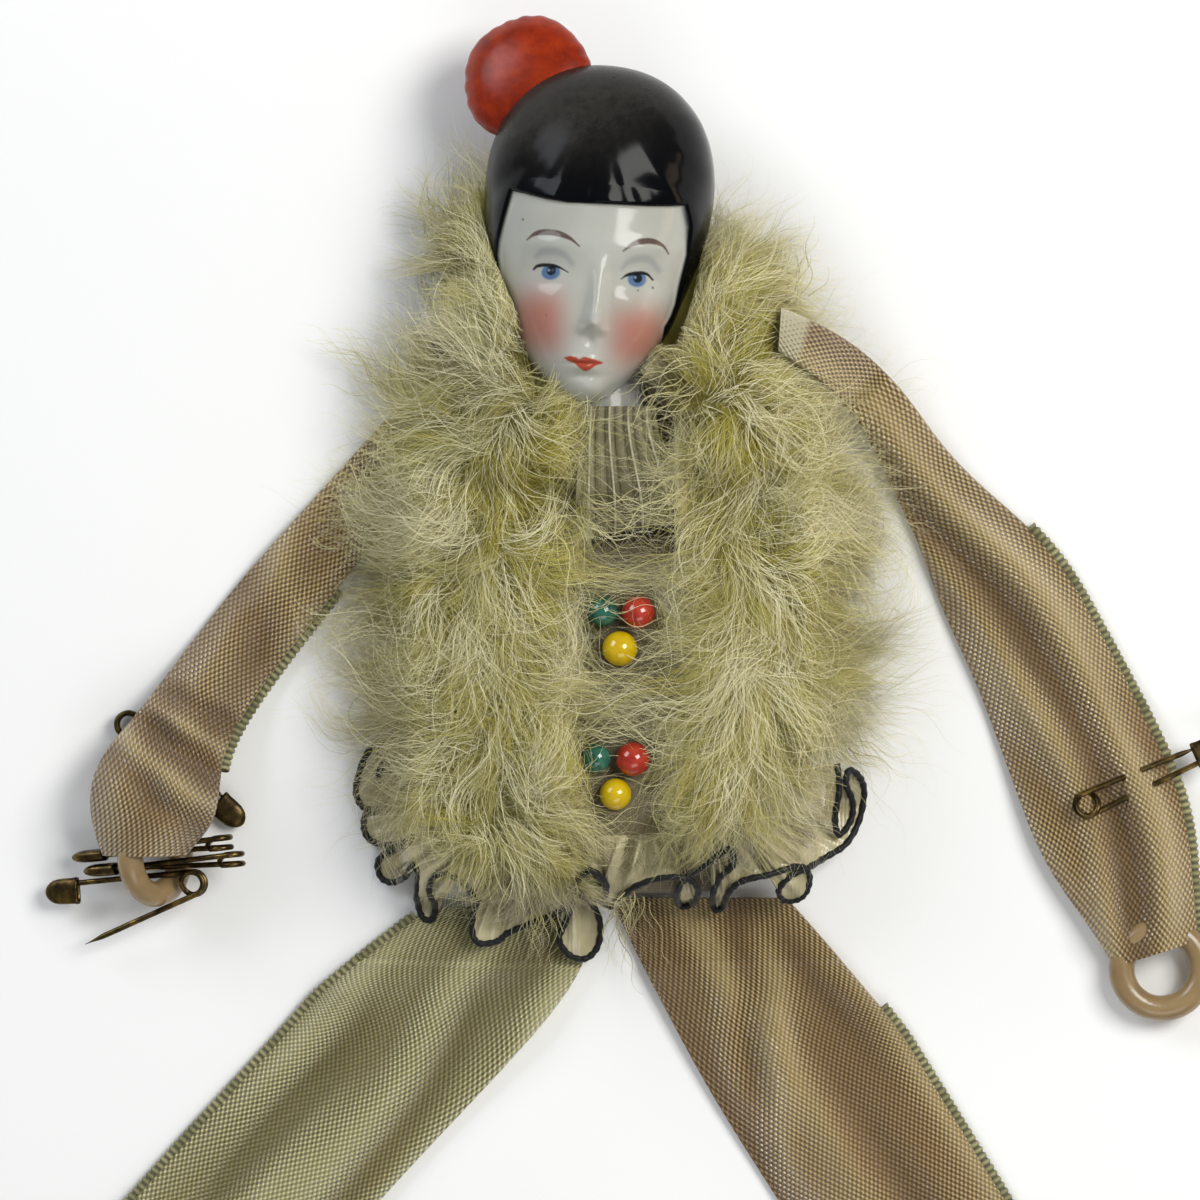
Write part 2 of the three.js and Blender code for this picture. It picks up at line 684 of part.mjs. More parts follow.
// A smooth value along a limb through four stations: bend, elbow, wrist and end
function along(values, t) {
  if (t < ELBOW_STATION) return lerp(values[0], values[1], smoothstep(t, 0, ELBOW_STATION));
  if (t < WRIST_STATION) return lerp(values[1], values[2], smoothstep(t, ELBOW_STATION, WRIST_STATION));
  return lerp(values[2], values[3], smoothstep(t, WRIST_STATION, 1));
}

function limbHeading(limb, t) {
  return degToRad(lerp(limb.heading[0], limb.heading[1], t ** limb.turnLate));
}

// Plan position of the middle of the ribbon at each step, from the bend to the cuff
function limbPath(limb, steps) {
  const spots = [new THREE.Vector2(...limb.hinge)];
  for (let k = 1; k <= steps; k += 1) {
    const heading = limbHeading(limb, (k - 0.5) / steps);
    spots.push(spots[k - 1].clone().addScaledVector(down2(heading), limb.length / steps));
  }
  return spots;
}

const ringCentres = {};

function addLimb(limb) {
  const rows = 16;
  const columns = 6;
  const spots = limbPath(limb, rows);
  const geometry = slab(rows, columns, (u, v) => {
    const t = u;
    const spot = spots[Math.round(u * rows)];
    const heading = limbHeading(limb, t);
    const row = lerp(degToRad(limb.hingeRow), heading, smoothstep(t * limb.length, 0, LIMB_SWING));
    const half = along(limb.half, t) / Math.cos(heading - row);
    const across = 2 * v - 1;
    const place = spot.clone().addScaledVector(across2(row), across * half);
    if (u === 0) place.addScaledVector(down2(row), GAP);
    const puff = smoothstep(t, 0.5, 0.8);
    const curve = Math.sqrt(1 - 0.9 * across ** 2);
    const flat = 1 - smoothstep(t * limb.length, 0, LIMB_SWING);
    const full = lerp(curve, 1, flat);
    const crown = along(limb.crown, t);
    const seat = along(limb.seat, t);
    return {
      x: place.x,
      y: place.y,
      low: seat + crown * puff * 0.5 * (1 - full),
      high: seat + crown * (puff * 0.5 * (1 + full) + (1 - puff) * full),
    };
  });
  const end = spots[rows];
  const heading = limbHeading(limb, 1);
  const centre = end.clone().addScaledVector(down2(heading), CUFF_CATCH);
  const tilt = degToRad(limb.ringTilt);
  const lift = limb.ringTilt ? RING_SECTION + RING_RADIUS * Math.sin(tilt) : FLAT_RING_HEIGHT;
  const placeRing = (ring) => {
    ring.rotateY(tilt);
    ring.rotateZ(heading);
    return ring.translate(centre.x, centre.y, lift);
  };
  const groove = placeRing(weld(new THREE.TorusGeometry(RING_RADIUS, RING_SECTION + GAP, 8, 18)));
  const cuffPieces = toSolid(geometry).subtract(toSolid(groove)).decompose();
  cuffPieces.sort((a, b) => b.volume() - a.volume());
  add(limb.name, toGeometry(cuffPieces[0]), limb.finish);
  const ring = placeRing(weld(new THREE.TorusGeometry(RING_RADIUS, RING_SECTION, 8, 18)));
  add(`ring_${limb.name}`, ring, celluloid);
  ringCentres[limb.name] = new THREE.Vector3(centre.x, centre.y, lift);
  addRoot(limb);
}

// The sewn root of a limb, from its seam on the body to the line where the ribbon bends
function addRoot(limb) {
  const from = new THREE.Vector2(...limb.root);
  const to = new THREE.Vector2(...limb.hinge);
  add(`${limb.name}_root`, slab(4, 3, (u, v) => {
    const row = degToRad(lerp(limb.rootRow, limb.hingeRow, u));
    const heading = degToRad(limb.heading[0]);
    const hingeHalf = limb.half[0] / Math.cos(heading - degToRad(limb.hingeRow));
    const across = (2 * v - 1) * lerp(limb.rootHalf, hingeHalf, u);
    const spot = from.clone().lerp(to, u).addScaledVector(across2(row), across);
    const rise = limb.rootRise * (1 - u) ** 2;
    return { x: spot.x, y: spot.y, low: GAP, high: GAP + RIBBON_ROOT_THICKNESS + rise };
  }), limb.finish);
}

LIMBS.forEach(addLimb);

// Safety pins. In a pin's own frame the coil is at the origin, the cap lies along +X,
// the back wire runs on the -Y side and the pointed arm on the +Y side.

const coilRise = 2 * WIRE + COIL_GAP;

function coilPath() {
  const points = [];
  const farSpread = new THREE.Vector3(PIN_REACH - CAP_LENGTH / 2, -CAP_HALF_SPREAD, 0);
  const coilStart = new THREE.Vector3(0, -COIL_RADIUS, -coilRise / 2);
  for (let k = 0; k <= 8; k += 1) points.push(farSpread.clone().lerp(coilStart, k / 8));
  const turnSteps = 18;
  for (let k = 1; k <= turnSteps; k += 1) {
    const swept = (540 * k) / turnSteps;
    const angle = degToRad(-90 - swept);
    const rise = coilRise * (smoothstep(swept, 210, 330) - 0.5);
    points.push(new THREE.Vector3(COIL_RADIUS * Math.cos(angle), COIL_RADIUS * Math.sin(angle), rise));
  }
  return new THREE.CatmullRomCurve3(points);
}

// Least gap between turns of the coil, measured on points that lie most of a turn apart
function leastCoilGap(path) {
  const spots = path.getSpacedPoints(240);
  const apart = 2 * Math.PI * COIL_RADIUS * 0.6;
  const spacing = path.getLength() / 240;
  let least = Infinity;
  spots.forEach((a, i) => {
    for (let j = i + Math.ceil(apart / spacing); j < spots.length; j += 1) {
      least = Math.min(least, a.distanceTo(spots[j]) - 2 * WIRE);
    }
  });
  return least;
}

function capGeometry() {
  const halfHeight = CAP_HALF_SPREAD + WIRE + CAP_PLAY + CAP_WALL;
  const halfDepth = WIRE + CAP_PLAY + CAP_WALL;
  const shape = new THREE.Shape();
  const shoulder = PIN_REACH - halfHeight * 0.7;
  shape.moveTo(PIN_REACH - CAP_LENGTH, -halfHeight);
  shape.lineTo(shoulder, -halfHeight);
  shape.quadraticCurveTo(PIN_REACH, -halfHeight * 0.9, PIN_REACH, 0);
  shape.quadraticCurveTo(PIN_REACH, halfHeight * 0.9, shoulder, halfHeight);
  shape.lineTo(PIN_REACH - CAP_LENGTH, halfHeight);
  shape.closePath();
  const options = { depth: 2 * halfDepth, bevelEnabled: false, curveSegments: 4 };
  const outer = new THREE.ExtrudeGeometry(shape, options).translate(0, 0, -halfDepth);
  const inside = CAP_LENGTH - 2 * CAP_WALL;
  const hollow = new THREE.BoxGeometry(inside + 1, 2 * (halfHeight - CAP_WALL), 2 * (WIRE + CAP_PLAY));
  hollow.translate(PIN_REACH - CAP_LENGTH + inside / 2 - 0.5, 0, 0);
  return toGeometry(toSolid(outer).subtract(toSolid(hollow)));
}

const backPath = coilPath();
const backSteps = Math.round(backPath.getLength() / 1.1);
console.log('least gap between coil turns', leastCoilGap(backPath).toFixed(2), 'mm');

function armPath(open) {
  const swing = open ? degToRad(PIN_OPENING + PIN_FURTHER) : 0;
  const gap = (GAP + COIL_RADIUS * Math.sin(swing)) / Math.cos(swing);
  const start = new THREE.Vector3(gap, COIL_RADIUS, coilRise / 2);
  const end = new THREE.Vector3(PIN_REACH - CAP_LENGTH + CAP_GRIP, CAP_HALF_SPREAD, 0);
  return new THREE.LineCurve3(start, end);
}

function addPin(name, coil, direction, coilAxis, open) {
  const group = new THREE.Group();
  const x = direction.clone().normalize();
  const z = coilAxis.clone().addScaledVector(x, -coilAxis.dot(x)).normalize();
  const y = z.clone().cross(x);
  const frame = new THREE.Matrix4().makeBasis(x, y, z).setPosition(coil);
  group.applyMatrix4(frame);
  doll.add(group);
  add(`${name}_wire`, bar(backPath, WIRE, backSteps, 5), bronzedWire, group);
  add(`${name}_cap`, capGeometry(), bronzedWire, group);
  const arm = bar(armPath(open), WIRE, 1, 5);
  if (open) arm.rotateZ(degToRad(PIN_OPENING));
  add(`${name}_arm`, arm, bronzedWire, group);
}

// A level direction with a heading on the page, from +X turning left, and a fall below level
function slope(heading, fall) {
  const a = degToRad(heading);
  const f = degToRad(fall);
  return new THREE.Vector3(Math.cos(a) * Math.cos(f), Math.sin(a) * Math.cos(f), -Math.sin(f));
}

// Three pins are threaded through the left ring, over its low side and under its high side
const leftRing = ringCentres.arm_left;
const threaded = [
  { name: 'pin_1', back: 7.5, side: 0.5, height: -1.1, heading: 186 },
  { name: 'pin_2', back: 8.9, side: -1.35, height: -1.0, heading: 185 },
];
for (const pin of threaded) {
  const direction = slope(pin.heading, PIN_SLOPE);
  const through = leftRing.clone().add(new THREE.Vector3(0, pin.side, pin.height));
  const coil = through.addScaledVector(direction, -pin.back);
  const flatAxis = new THREE.Vector3(0, 0, 1).cross(direction).negate();
  addPin(pin.name, coil, direction, flatAxis, false);
}

// The third hooks the low side of the ring and has sprung open
const hookDirection = slope(184, PIN_SLOPE);
const hookCoil = leftRing.clone().add(new THREE.Vector3(4.3, -3.35, 0.35));
addPin('pin_3', hookCoil, hookDirection, new THREE.Vector3(0, 0, 1), true);

// The fourth lies behind the left wrist and the fifth on the right sleeve
const wristPinHeight = GAP + coilRise / 2 + WIRE + 0.1;
const wristPin = leftRing.clone().add(new THREE.Vector3(-3.4, 14.8, 0)).setZ(wristPinHeight);
addPin('pin_4', wristPin, slope(-41, 0), new THREE.Vector3(0, 0, 1), false);

const rightArm = LIMBS[1];
const sleeveSteps = 50;
const sleeveSpot = limbPath(rightArm, sleeveSteps)[Math.round(SLEEVE_PIN_STATION * sleeveSteps)];
const sleeveSeat = along(rightArm.seat, SLEEVE_PIN_STATION);
const sleeveTop = sleeveSeat + along(rightArm.crown, SLEEVE_PIN_STATION);
const sleevePinHeight = sleeveTop + GAP + coilRise / 2 + WIRE;
const sleevePin = new THREE.Vector3(sleeveSpot.x - 2, sleeveSpot.y, sleevePinHeight);
addPin('pin_5', sleevePin, slope(24, 0), new THREE.Vector3(0, 0, 1), false);

export default doll;
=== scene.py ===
# %% [markdown]
# # Dressing a porcelain pierrot pin doll
# The doll lies on its back. Its solid model gives every piece a place and a size, and this
# lesson gives each of them the look of the real thing: glazed porcelain with painted features,
# down trim, woven ribbon, glass beads, celluloid rings and bronzed safety pins.
# A model like this could be sculpted by hand. Here every form comes from a formula or a short
# table of measures, so any size can be changed later.

# %% Load the frame
import json
import math
import bmesh
import bpy
import numpy as np
from mathutils import Matrix, Vector


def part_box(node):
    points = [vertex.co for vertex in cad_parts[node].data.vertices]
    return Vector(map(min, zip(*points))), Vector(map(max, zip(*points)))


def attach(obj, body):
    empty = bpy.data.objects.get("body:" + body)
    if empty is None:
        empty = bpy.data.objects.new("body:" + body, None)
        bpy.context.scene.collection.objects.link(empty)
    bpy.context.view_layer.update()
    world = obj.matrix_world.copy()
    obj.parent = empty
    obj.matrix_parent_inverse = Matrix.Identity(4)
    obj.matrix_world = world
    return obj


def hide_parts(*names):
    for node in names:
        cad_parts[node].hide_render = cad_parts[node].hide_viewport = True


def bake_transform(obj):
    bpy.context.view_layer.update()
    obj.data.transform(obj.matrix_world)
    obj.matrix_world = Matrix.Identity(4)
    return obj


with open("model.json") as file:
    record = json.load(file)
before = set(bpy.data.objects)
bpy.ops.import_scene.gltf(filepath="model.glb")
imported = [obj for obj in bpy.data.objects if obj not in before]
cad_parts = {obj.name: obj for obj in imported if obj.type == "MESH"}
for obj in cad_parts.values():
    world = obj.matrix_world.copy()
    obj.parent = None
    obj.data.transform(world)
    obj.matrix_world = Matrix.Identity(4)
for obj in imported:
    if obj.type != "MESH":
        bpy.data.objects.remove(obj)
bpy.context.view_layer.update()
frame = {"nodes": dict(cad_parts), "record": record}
print("nodes in the frame:", len(frame["nodes"]))

# %% [markdown]
# ## The camera
# The photograph was taken from straight above. A long lens from three quarters of a metre
# keeps the nearer head and the farther feet at almost one scale. The picture shows 137 mm of
# table from side to side at the height of the chest.

# %% Camera
MM = 0.001
VIEW_WIDTH = 137.14
VIEW_X = -1.14
VIEW_Y = 5.71
VIEW_HEIGHT = 750
CHEST_HEIGHT = 8
SENSOR = 36

camera = bpy.data.objects.new("camera", bpy.data.cameras.new("camera"))
bpy.context.scene.collection.objects.link(camera)
camera.location = (VIEW_X * MM, VIEW_Y * MM, VIEW_HEIGHT * MM)
camera.data.sensor_width = SENSOR
camera.data.lens = SENSOR * (VIEW_HEIGHT - CHEST_HEIGHT) / VIEW_WIDTH
camera.data.clip_start = 0.01
bpy.context.scene.camera = camera
print("lens", round(camera.data.lens), "mm")

# %% [markdown]
# ## Small tools for meshes
# Numbers in this lesson are millimetres, and one function turns them into Blender's metres.
# A form is a grid of points: `grid_faces` says which four points make each face, and `piece`
# makes the object and lets it ride on a body of the doll, so it moves when that body moves.

# %% Mesh tools
def grid_faces(rows, columns, closed=False):
    """Faces of a grid of rows by columns points; closed joins the last column to the first."""
    i, j = np.meshgrid(np.arange(rows - 1), np.arange(columns - (not closed)), indexing="ij")
    here = i * columns + j
    beside = i * columns + (j + 1) % columns
    return np.stack([here, beside, beside + columns, here + columns], -1).reshape(-1, 4)


def piece(name, points, faces, body, material, marks=None):
    """A mesh from points in millimetres, with one number per point for each of its marks. It rides
    on a body of the doll, or on none."""
    points = np.asarray(points, float).reshape(-1, 3)
    faces = np.asarray(faces)
    mesh = bpy.data.meshes.new(name)
    mesh.vertices.add(len(points))
    mesh.vertices.foreach_set("co", (points * MM).ravel())
    mesh.loops.add(faces.size)
    mesh.loops.foreach_set("vertex_index", faces.ravel())
    mesh.polygons.add(len(faces))
    mesh.polygons.foreach_set("loop_start", np.arange(0, faces.size, faces.shape[1]))
    mesh.update(calc_edges=True)
    mesh.shade_smooth()
    for key, values in (marks or {}).items():
        mesh.attributes.new(key, "FLOAT", "POINT").data.foreach_set("value", np.ravel(values))
    mesh.materials.append(material)
    obj = bpy.data.objects.new(name, mesh)
    bpy.context.scene.collection.objects.link(obj)
    if body:
        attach(obj, body)
    print(name, len(points), "points,", len(faces), "faces")
    return obj


def smooth(value, low, high):
    """0 below low, 1 above high, and an even climb between."""
    share = np.clip((value - low) / (high - low), 0, 1)
    return share * share * (3 - 2 * share)


def mix(a, b, share):
    return a + (b - a) * share


def squared(value, power):
    """Pushes sines and cosines toward their ends, which turns a circle into a rounded square."""
    return np.sign(value) * np.abs(value) ** power


def walked(line):
    """How far along a line each of its points lies."""
    return np.concatenate([[0], np.cumsum(np.linalg.norm(np.diff(line, axis=0), axis=1))])


def resample(line, at, wanted):
    """Points of a line at wanted places, where at gives the place of each known point."""
    return np.stack([np.interp(wanted, at, line[:, k]) for k in range(line.shape[1])], -1)


def seen(x, y, z):
    """Where a point shows in the picture, in its 1200 columns and rows."""
    near = (VIEW_HEIGHT - CHEST_HEIGHT) / (VIEW_HEIGHT - z)
    scale = 1200 / VIEW_WIDTH * near
    return 600 + (x - VIEW_X) * scale, 600 - (y - VIEW_Y) * scale


# %% [markdown]
# ## Small tools for materials
# Colours are written as on a web page and turned into the linear light that the renderer
# reckons with. `node` adds any node with its settings and what feeds its sockets. `finish`
# starts a material with one Principled shader whose fixed values are set on its own sockets.
# Old cloth, glass and metal are never one flat colour, so `mottled` lets a noise tint them.

# %% Material tools
def linear(colour):
    channels = [int(colour[k:k + 2], 16) / 255 for k in (1, 3, 5)]
    bright = [c / 12.92 if c <= 0.04045 else ((c + 0.055) / 1.055) ** 2.4 for c in channels]
    return (*bright, 1.0)


def node(tree, kind, settings=None, inputs=None):
    """Adds a node. An input is a value, or the output socket of another node. stops are the
    places and colours of a colour ramp."""
    made = tree.nodes.new(kind)
    settings = dict(settings or {})
    stops = settings.pop("stops", [])
    for key, value in settings.items():
        setattr(made, key, value)
    for k, (place, colour) in enumerate(stops):
        ramp = made.color_ramp.elements
        spot = ramp[k] if k < 2 else ramp.new(place)
        spot.position = place
        spot.color = linear(colour)
    for key, value in (inputs or {}).items():
        if isinstance(value, bpy.types.NodeSocket):
            tree.links.new(value, made.inputs[key])
        else:
            made.inputs[key].default_value = value
    return made


def finish(name, inputs):
    """A material with a Principled shader; gives the material, its nodes and the shader."""
    material = bpy.data.materials.new(name)
    material.use_nodes = True
    tree = material.node_tree
    tree.nodes.clear()
    shader = node(tree, "ShaderNodeBsdfPrincipled", None, inputs)
    node(tree, "ShaderNodeOutputMaterial", None, {"Surface": shader.outputs[0]})
    return material, tree, shader


def mottled(tree, shader, scale, stops, **more):
    """Lets a noise choose the base colour; gives the place, the noise and the colour."""
    place = node(tree, "ShaderNodeTexCoord").outputs["Object"]
    noise = node(tree, "ShaderNodeTexNoise", None, {"Vector": place, "Scale": scale, **more}).outputs["Fac"]
    colour = node(tree, "ShaderNodeValToRGB", {"stops": stops}, {"Fac": noise}).outputs["Color"]
    tree.links.new(colour, shader.inputs["Base Color"])
    return place, noise, colour


# %% [markdown]
# ## Table and light
# A pale matte table and four soft lights. A window-like panel stands high on the right and a
# broad bluish one beyond the left shoulder. A warm card stands low on the right, and a weak
# fill below the feet opens the shade under the chin. On glossy black hair they show as the
# reflections that tell the eye how round the head is.

# %% Table
TABLE_HALF = 900
TABLE_DROP = 0.02
table_material, _, _ = finish("pale_table_laminate", {
    "Base Color": linear("#f8f8f7"),
    "Roughness": 0.75,
    "Specular IOR Level": 0.2,
})
table_corners = [(x * TABLE_HALF * MM, y * TABLE_HALF * MM, -TABLE_DROP * MM) for y in (-1, 1) for x in (-1, 1)]
table_mesh = bpy.data.meshes.new("table")
table_mesh.from_pydata(table_corners, [], [(0, 1, 3, 2)])
table_mesh.materials.append(table_material)
table = bpy.data.objects.new("table", table_mesh)
bpy.context.scene.collection.objects.link(table)

# %% Lights
world = bpy.data.worlds.new("studio")
bpy.context.scene.world = world
world.use_nodes = True
sky = world.node_tree.nodes["Background"].inputs
sky["Color"].default_value = linear("#eef1f4")
sky["Strength"].default_value = 0.3
bpy.context.scene.view_settings.view_transform = "Standard"
CHEST = Vector((0, 0.01, 0.01))


def panel(name, place, size, watts, colour):
    """A rectangular lamp, placed in millimetres, that faces the doll's chest."""
    lamp = bpy.data.lights.new(name, "AREA")
    lamp.shape = "RECTANGLE"
    lamp.size = size[0] * MM
    lamp.size_y = size[1] * MM
    lamp.energy = watts
    lamp.color = linear(colour)[:3]
    obj = bpy.data.objects.new(name, lamp)
    bpy.context.scene.collection.objects.link(obj)
    obj.location = [c * MM for c in place]
    obj.rotation_euler = (obj.location - CHEST).to_track_quat("Z", "Y").to_euler()


panel("window", (330, 190, 520), (260, 320), 3.05, "#fbfaf6")
panel("bright_wall", (-620, 520, 480), (460, 420), 3.4, "#eef3fb")
panel("low_fill", (120, -520, 560), (500, 300), 0.95, "#fbfaf8")
panel("warm_card", (620, 60, 130), (300, 160), 0.35, "#ffe3c2")

# %% [markdown]
# ## The head's form
# The head is a hollow porcelain casting from a plaster mould. Seen from the front it is an
# egg with a narrow chin. The form is a stack of rings: one curve gives the half width at each
# height and two more the depth of the face and of the back. A sculptor would push clay about
# on such an egg, and here each hollow and bump is a smooth hill or dip that is added to it.

# %% Head measures
CHIN_Y = 27.7475
HEAD_X = -1.7
HEAD_Z = 12.2
HEAD_HEIGHT = 38.7
HEAD_HALF_WIDTH = 13
HEAD_FRONT = 12.4
HEAD_BACK = 12
HEAD_WIDEST = 0.635
HEAD_ROLL = math.radians(-5.6)
CROWN_FULLNESS = 2.2
JAW_TAPER = 1.65
JAW_FULLNESS = 0.53
CHIN_FORWARD = 2.5


def head_shape(t):
    """Half width, depth in front, depth behind and push forward at a height from 0 to 1."""
    over = np.clip((t - HEAD_WIDEST) / (1 - HEAD_WIDEST), 0, 1)
    under = np.clip(1 - t / HEAD_WIDEST, 0, 1)
    crown = (1 - over ** CROWN_FULLNESS) ** (1 / CROWN_FULLNESS)
    jaw = 1 - under ** JAW_TAPER
    upper = t > HEAD_WIDEST
    width = HEAD_HALF_WIDTH * np.maximum(np.where(upper, crown, jaw ** JAW_FULLNESS), 0.02)
    front = HEAD_FRONT * np.maximum(np.where(upper, crown, jaw ** 0.3), 0.02)
    back = HEAD_BACK * np.maximum(np.where(upper, crown, jaw ** 0.9), 0.02)
    return width, front, back, CHIN_FORWARD * under


def head_to_doll(x, y, z):
    """From the head's own upright frame to the doll's."""
    y = y - HEAD_HEIGHT / 2
    c, s = math.cos(HEAD_ROLL), math.sin(HEAD_ROLL)
    return c * x - s * y + HEAD_X, s * x + c * y + CHIN_Y + HEAD_HEIGHT / 2, z + HEAD_Z


# Many columns over the face, where small features are painted, and fewer behind
face_columns = np.linspace(math.radians(8), math.radians(172), 300, endpoint=False)
back_columns = np.linspace(math.radians(172), math.radians(368), 80, endpoint=False)
turns = np.concatenate([face_columns, back_columns])
heights = np.concatenate([np.linspace(0.0015, 0.65, 250, endpoint=False),
                          0.65 + 0.34998 * np.sin(np.linspace(0, math.pi / 2, 110))])
T, A = np.meshgrid(heights, turns, indexing="ij")
width, front, back, forward = head_shape(T)
side = np.cos(A)
depth = np.sin(A)
head_x = side * width
head_y = T * HEAD_HEIGHT
head_z = depth * np.where(depth > 0, front, back) + forward
column, row = seen(*head_to_doll(head_x, head_y, head_z))
facing = smooth(depth, 0.02, 0.12)
print("head grid", T.shape)

# %% [markdown]
# ## Where the glazes go
# China painters work from the outline of the face: the fringe, the two side locks and the jaw.
# The features are laid out on the picture plane in front of the face. `away` is how far a
# point is from a drawn line, so a brush stroke is the points near its line, and `inside`
# tells what lies within an outline. Both keep a soft edge of one brush hair.

# %% Drawing tools
def away(points, x, y):
    """Distance to a line through points, and the share of the line at the nearest spot."""
    points = np.array(points, float)
    best = np.full(x.shape, 1e9)
    share = np.zeros(x.shape)
    for k in range(len(points) - 1):
        (ax, ay), (bx, by) = points[k], points[k + 1]
        span = (bx - ax) ** 2 + (by - ay) ** 2
        t = np.clip(((x - ax) * (bx - ax) + (y - ay) * (by - ay)) / span, 0, 1)
        gap = np.hypot(x - ax - t * (bx - ax), y - ay - t * (by - ay))
        share = np.where(gap < best, (k + t) / (len(points) - 1), share)
        best = np.minimum(best, gap)
    return best, share


def rounded(points, steps=6):
    """More points on a smooth curve through the given ones."""
    points = np.array(points, float)
    ends = np.vstack([2 * points[0] - points[1], points, 2 * points[-1] - points[-2]])
    made = []
    for k in range(1, len(ends) - 2):
        p0, p1, p2, p3 = ends[k - 1:k + 3]
        for t in np.arange(steps) / steps:
            made.append(0.5 * (2 * p1 + (p2 - p0) * t + (2 * p0 - 5 * p1 + 4 * p2 - p3) * t ** 2
                               + (3 * p1 - p0 - 3 * p2 + p3) * t ** 3))
    return np.array(made + [points[-1]])


def inside(outline, x, y):
    """Signed distance to a closed outline, positive inside."""
    outline = np.array(outline, float)
    gap, _ = away(np.vstack([outline, outline[:1]]), x, y)
    within = np.zeros(x.shape, bool)
    for (ax, ay), (bx, by) in zip(outline, np.roll(outline, -1, 0)):
        crosses = (ay > y) != (by > y)
        step = (bx - ax) * (y - ay) / (by - ay if by != ay else 1) + ax
        within ^= crosses & (x < step)
    return np.where(within, gap, -gap)


def hill(x, y, cx, cy, rx, ry, power=2):
    return np.exp(-((np.abs(x - cx) / rx) ** power + (np.abs(y - cy) / ry) ** power))


# %% [markdown]
# ## Hair and face
# The bob was modelled in the mould, so the black glaze sits on a raised cap with a sharp lower
# edge, and shallow grooves run down it from the crown as combed strands. The skin lies half a
# millimetre deeper.

# %% Hair line and relief
FACE_OPENING = [
    (512, 191), (523, 193.5), (545, 199), (567, 202.5), (600, 204), (622, 205), (649, 206.5), (671, 206.5),
    (684, 206), (688, 228), (688, 255), (681, 285), (677, 304), (672, 316), (665, 327), (662, 344),
    (735, 352), (760, 460), (430, 460), (460, 345), (511, 338), (507, 315), (500, 285), (497, 255),
    (498.5, 241), (504, 219),
]
opening = inside(FACE_OPENING, column, row)
skin = smooth(opening, -0.7, 0.9) * facing
nape = smooth(-(T * HEAD_HEIGHT - 7.2), -0.15, 0.25) * (1 - facing)
skin = np.maximum(skin, nape)
step_down = smooth(opening, -3.5, 2.5) * facing
step_down = np.maximum(step_down, smooth(7.2 - T * HEAD_HEIGHT, -0.4, 0.5) * (1 - facing))

crown_x, crown_y = 600, 92
sweep = np.arctan2(column - crown_x, row - crown_y)
strands = 0.6 * np.sin(11 * sweep + 0.7) + 0.4 * np.sin(19 * sweep + 2.1) + 0.15 * np.sin(37 * sweep + 4.0)
toward_edge = smooth(np.hypot(column - crown_x, row - crown_y), 35, 115)
grooves = strands * toward_edge * facing
back_turn = np.sin(26 * A) * 0.5 + np.sin(41 * A + 1.3) * 0.3
grooves = grooves + back_turn * (1 - facing) * smooth(T, 0.97, 0.75)
fringe = smooth(opening, -46, -8)
hair_out = (0.06 + 0.13 * fringe) * grooves + 0.12 * smooth(opening, -26, -4) * facing
print("skin share", round(float(skin.mean()), 3))

# %% [markdown]
# ## Features in relief
# Eye hollows, brow, nose, cheeks, lips and chin are soft, as slip casting and a thick glaze
# leave them. Each is a hill in front of the face, with a height in millimetres.

# %% Face relief
# Height in millimetres, middle column and row, and half width and height in picture points
HOLLOWS_AND_HILLS = [
    (-0.75, 548.5, 272, 27, 15), (0.38, 548.5, 273, 15, 8.5),      # left eye: hollow and ball
    (-0.75, 641, 279.5, 27, 15), (0.38, 641, 280.5, 15, 8.5),      # right eye
    (0.35, 552, 243, 30, 9), (0.35, 647, 248, 30, 9),              # brow ridges
    (0.75, 593, 326, 7.5, 7),                                      # tip of the nose
    (0.4, 582.5, 329, 5, 4.6), (0.4, 603.5, 330.5, 5, 4.6),        # its wings
    (-0.3, 590, 340, 5, 6),                                        # groove above the lip
    (0.5, 540, 318, 34, 34), (0.5, 642, 328, 30, 34),              # cheeks
    (0.45, 583, 361, 22, 12), (0.24, 575, 358.5, 7, 3.4),          # mouth and upper lip
    (0.24, 592, 360, 7, 3.4), (0.3, 585, 368, 9, 3.4),             # upper and lower lip
    (-0.22, 584, 363, 17, 1.6), (-0.35, 586, 376, 15, 4),          # between and under the lips
    (0.6, 592, 391, 15, 10),                                       # chin
]
relief = sum(height * hill(column, row, *where) for height, *where in HOLLOWS_AND_HILLS)
nose_line = rounded([(601, 246), (600, 272), (597, 300), (593.5, 321)])
nose_gap, nose_share = away(nose_line, column, row)
ridge = np.exp(-(nose_gap / mix(9.0, 9.4, nose_share)) ** 2)
relief += ridge * mix(0.2, 2.0, nose_share ** 1.3) * smooth(row, 236, 280)
relief *= facing * skin

push = relief - 0.5 * step_down + hair_out * (1 - skin)
tilt_x = side * 0.9
tilt_z = depth
length = np.hypot(tilt_x, tilt_z)
bumped_x = head_x + push * tilt_x / length * (1 - ridge * 0.6 * facing)
bumped_z = head_z + push * tilt_z / length
lift_y = -hair_out * (1 - skin) * smooth(T, 0.75, 1) * 0.4
head_points = np.stack(head_to_doll(bumped_x, head_y + lift_y, bumped_z), -1)

# %% [markdown]
# ## China paint
# The features were painted over the glaze with fine brushes and fired again. Each colour is a
# mask: brown brows and black lash lines are strokes that thin towards their ends, the irises
# are washed discs that the upper lids cut off, and the rouge is dabbed on with a soft pad. A
# pale spot high in each iris is a painted highlight.

# %% Painted masks
def stroke(points, width, soft=1.0, ends=(0.25, 0.25)):
    """A brush stroke along a line: full width in the middle, and thinner at both ends."""
    gap, share = away(rounded(points), column, row)
    thin = mix(ends[0], 1, smooth(share, 0, 0.35)) * mix(ends[1], 1, smooth(1 - share, 0, 0.45))
    return 1 - smooth(gap, width / 2 * thin - soft / 2, width / 2 * thin + soft / 2)


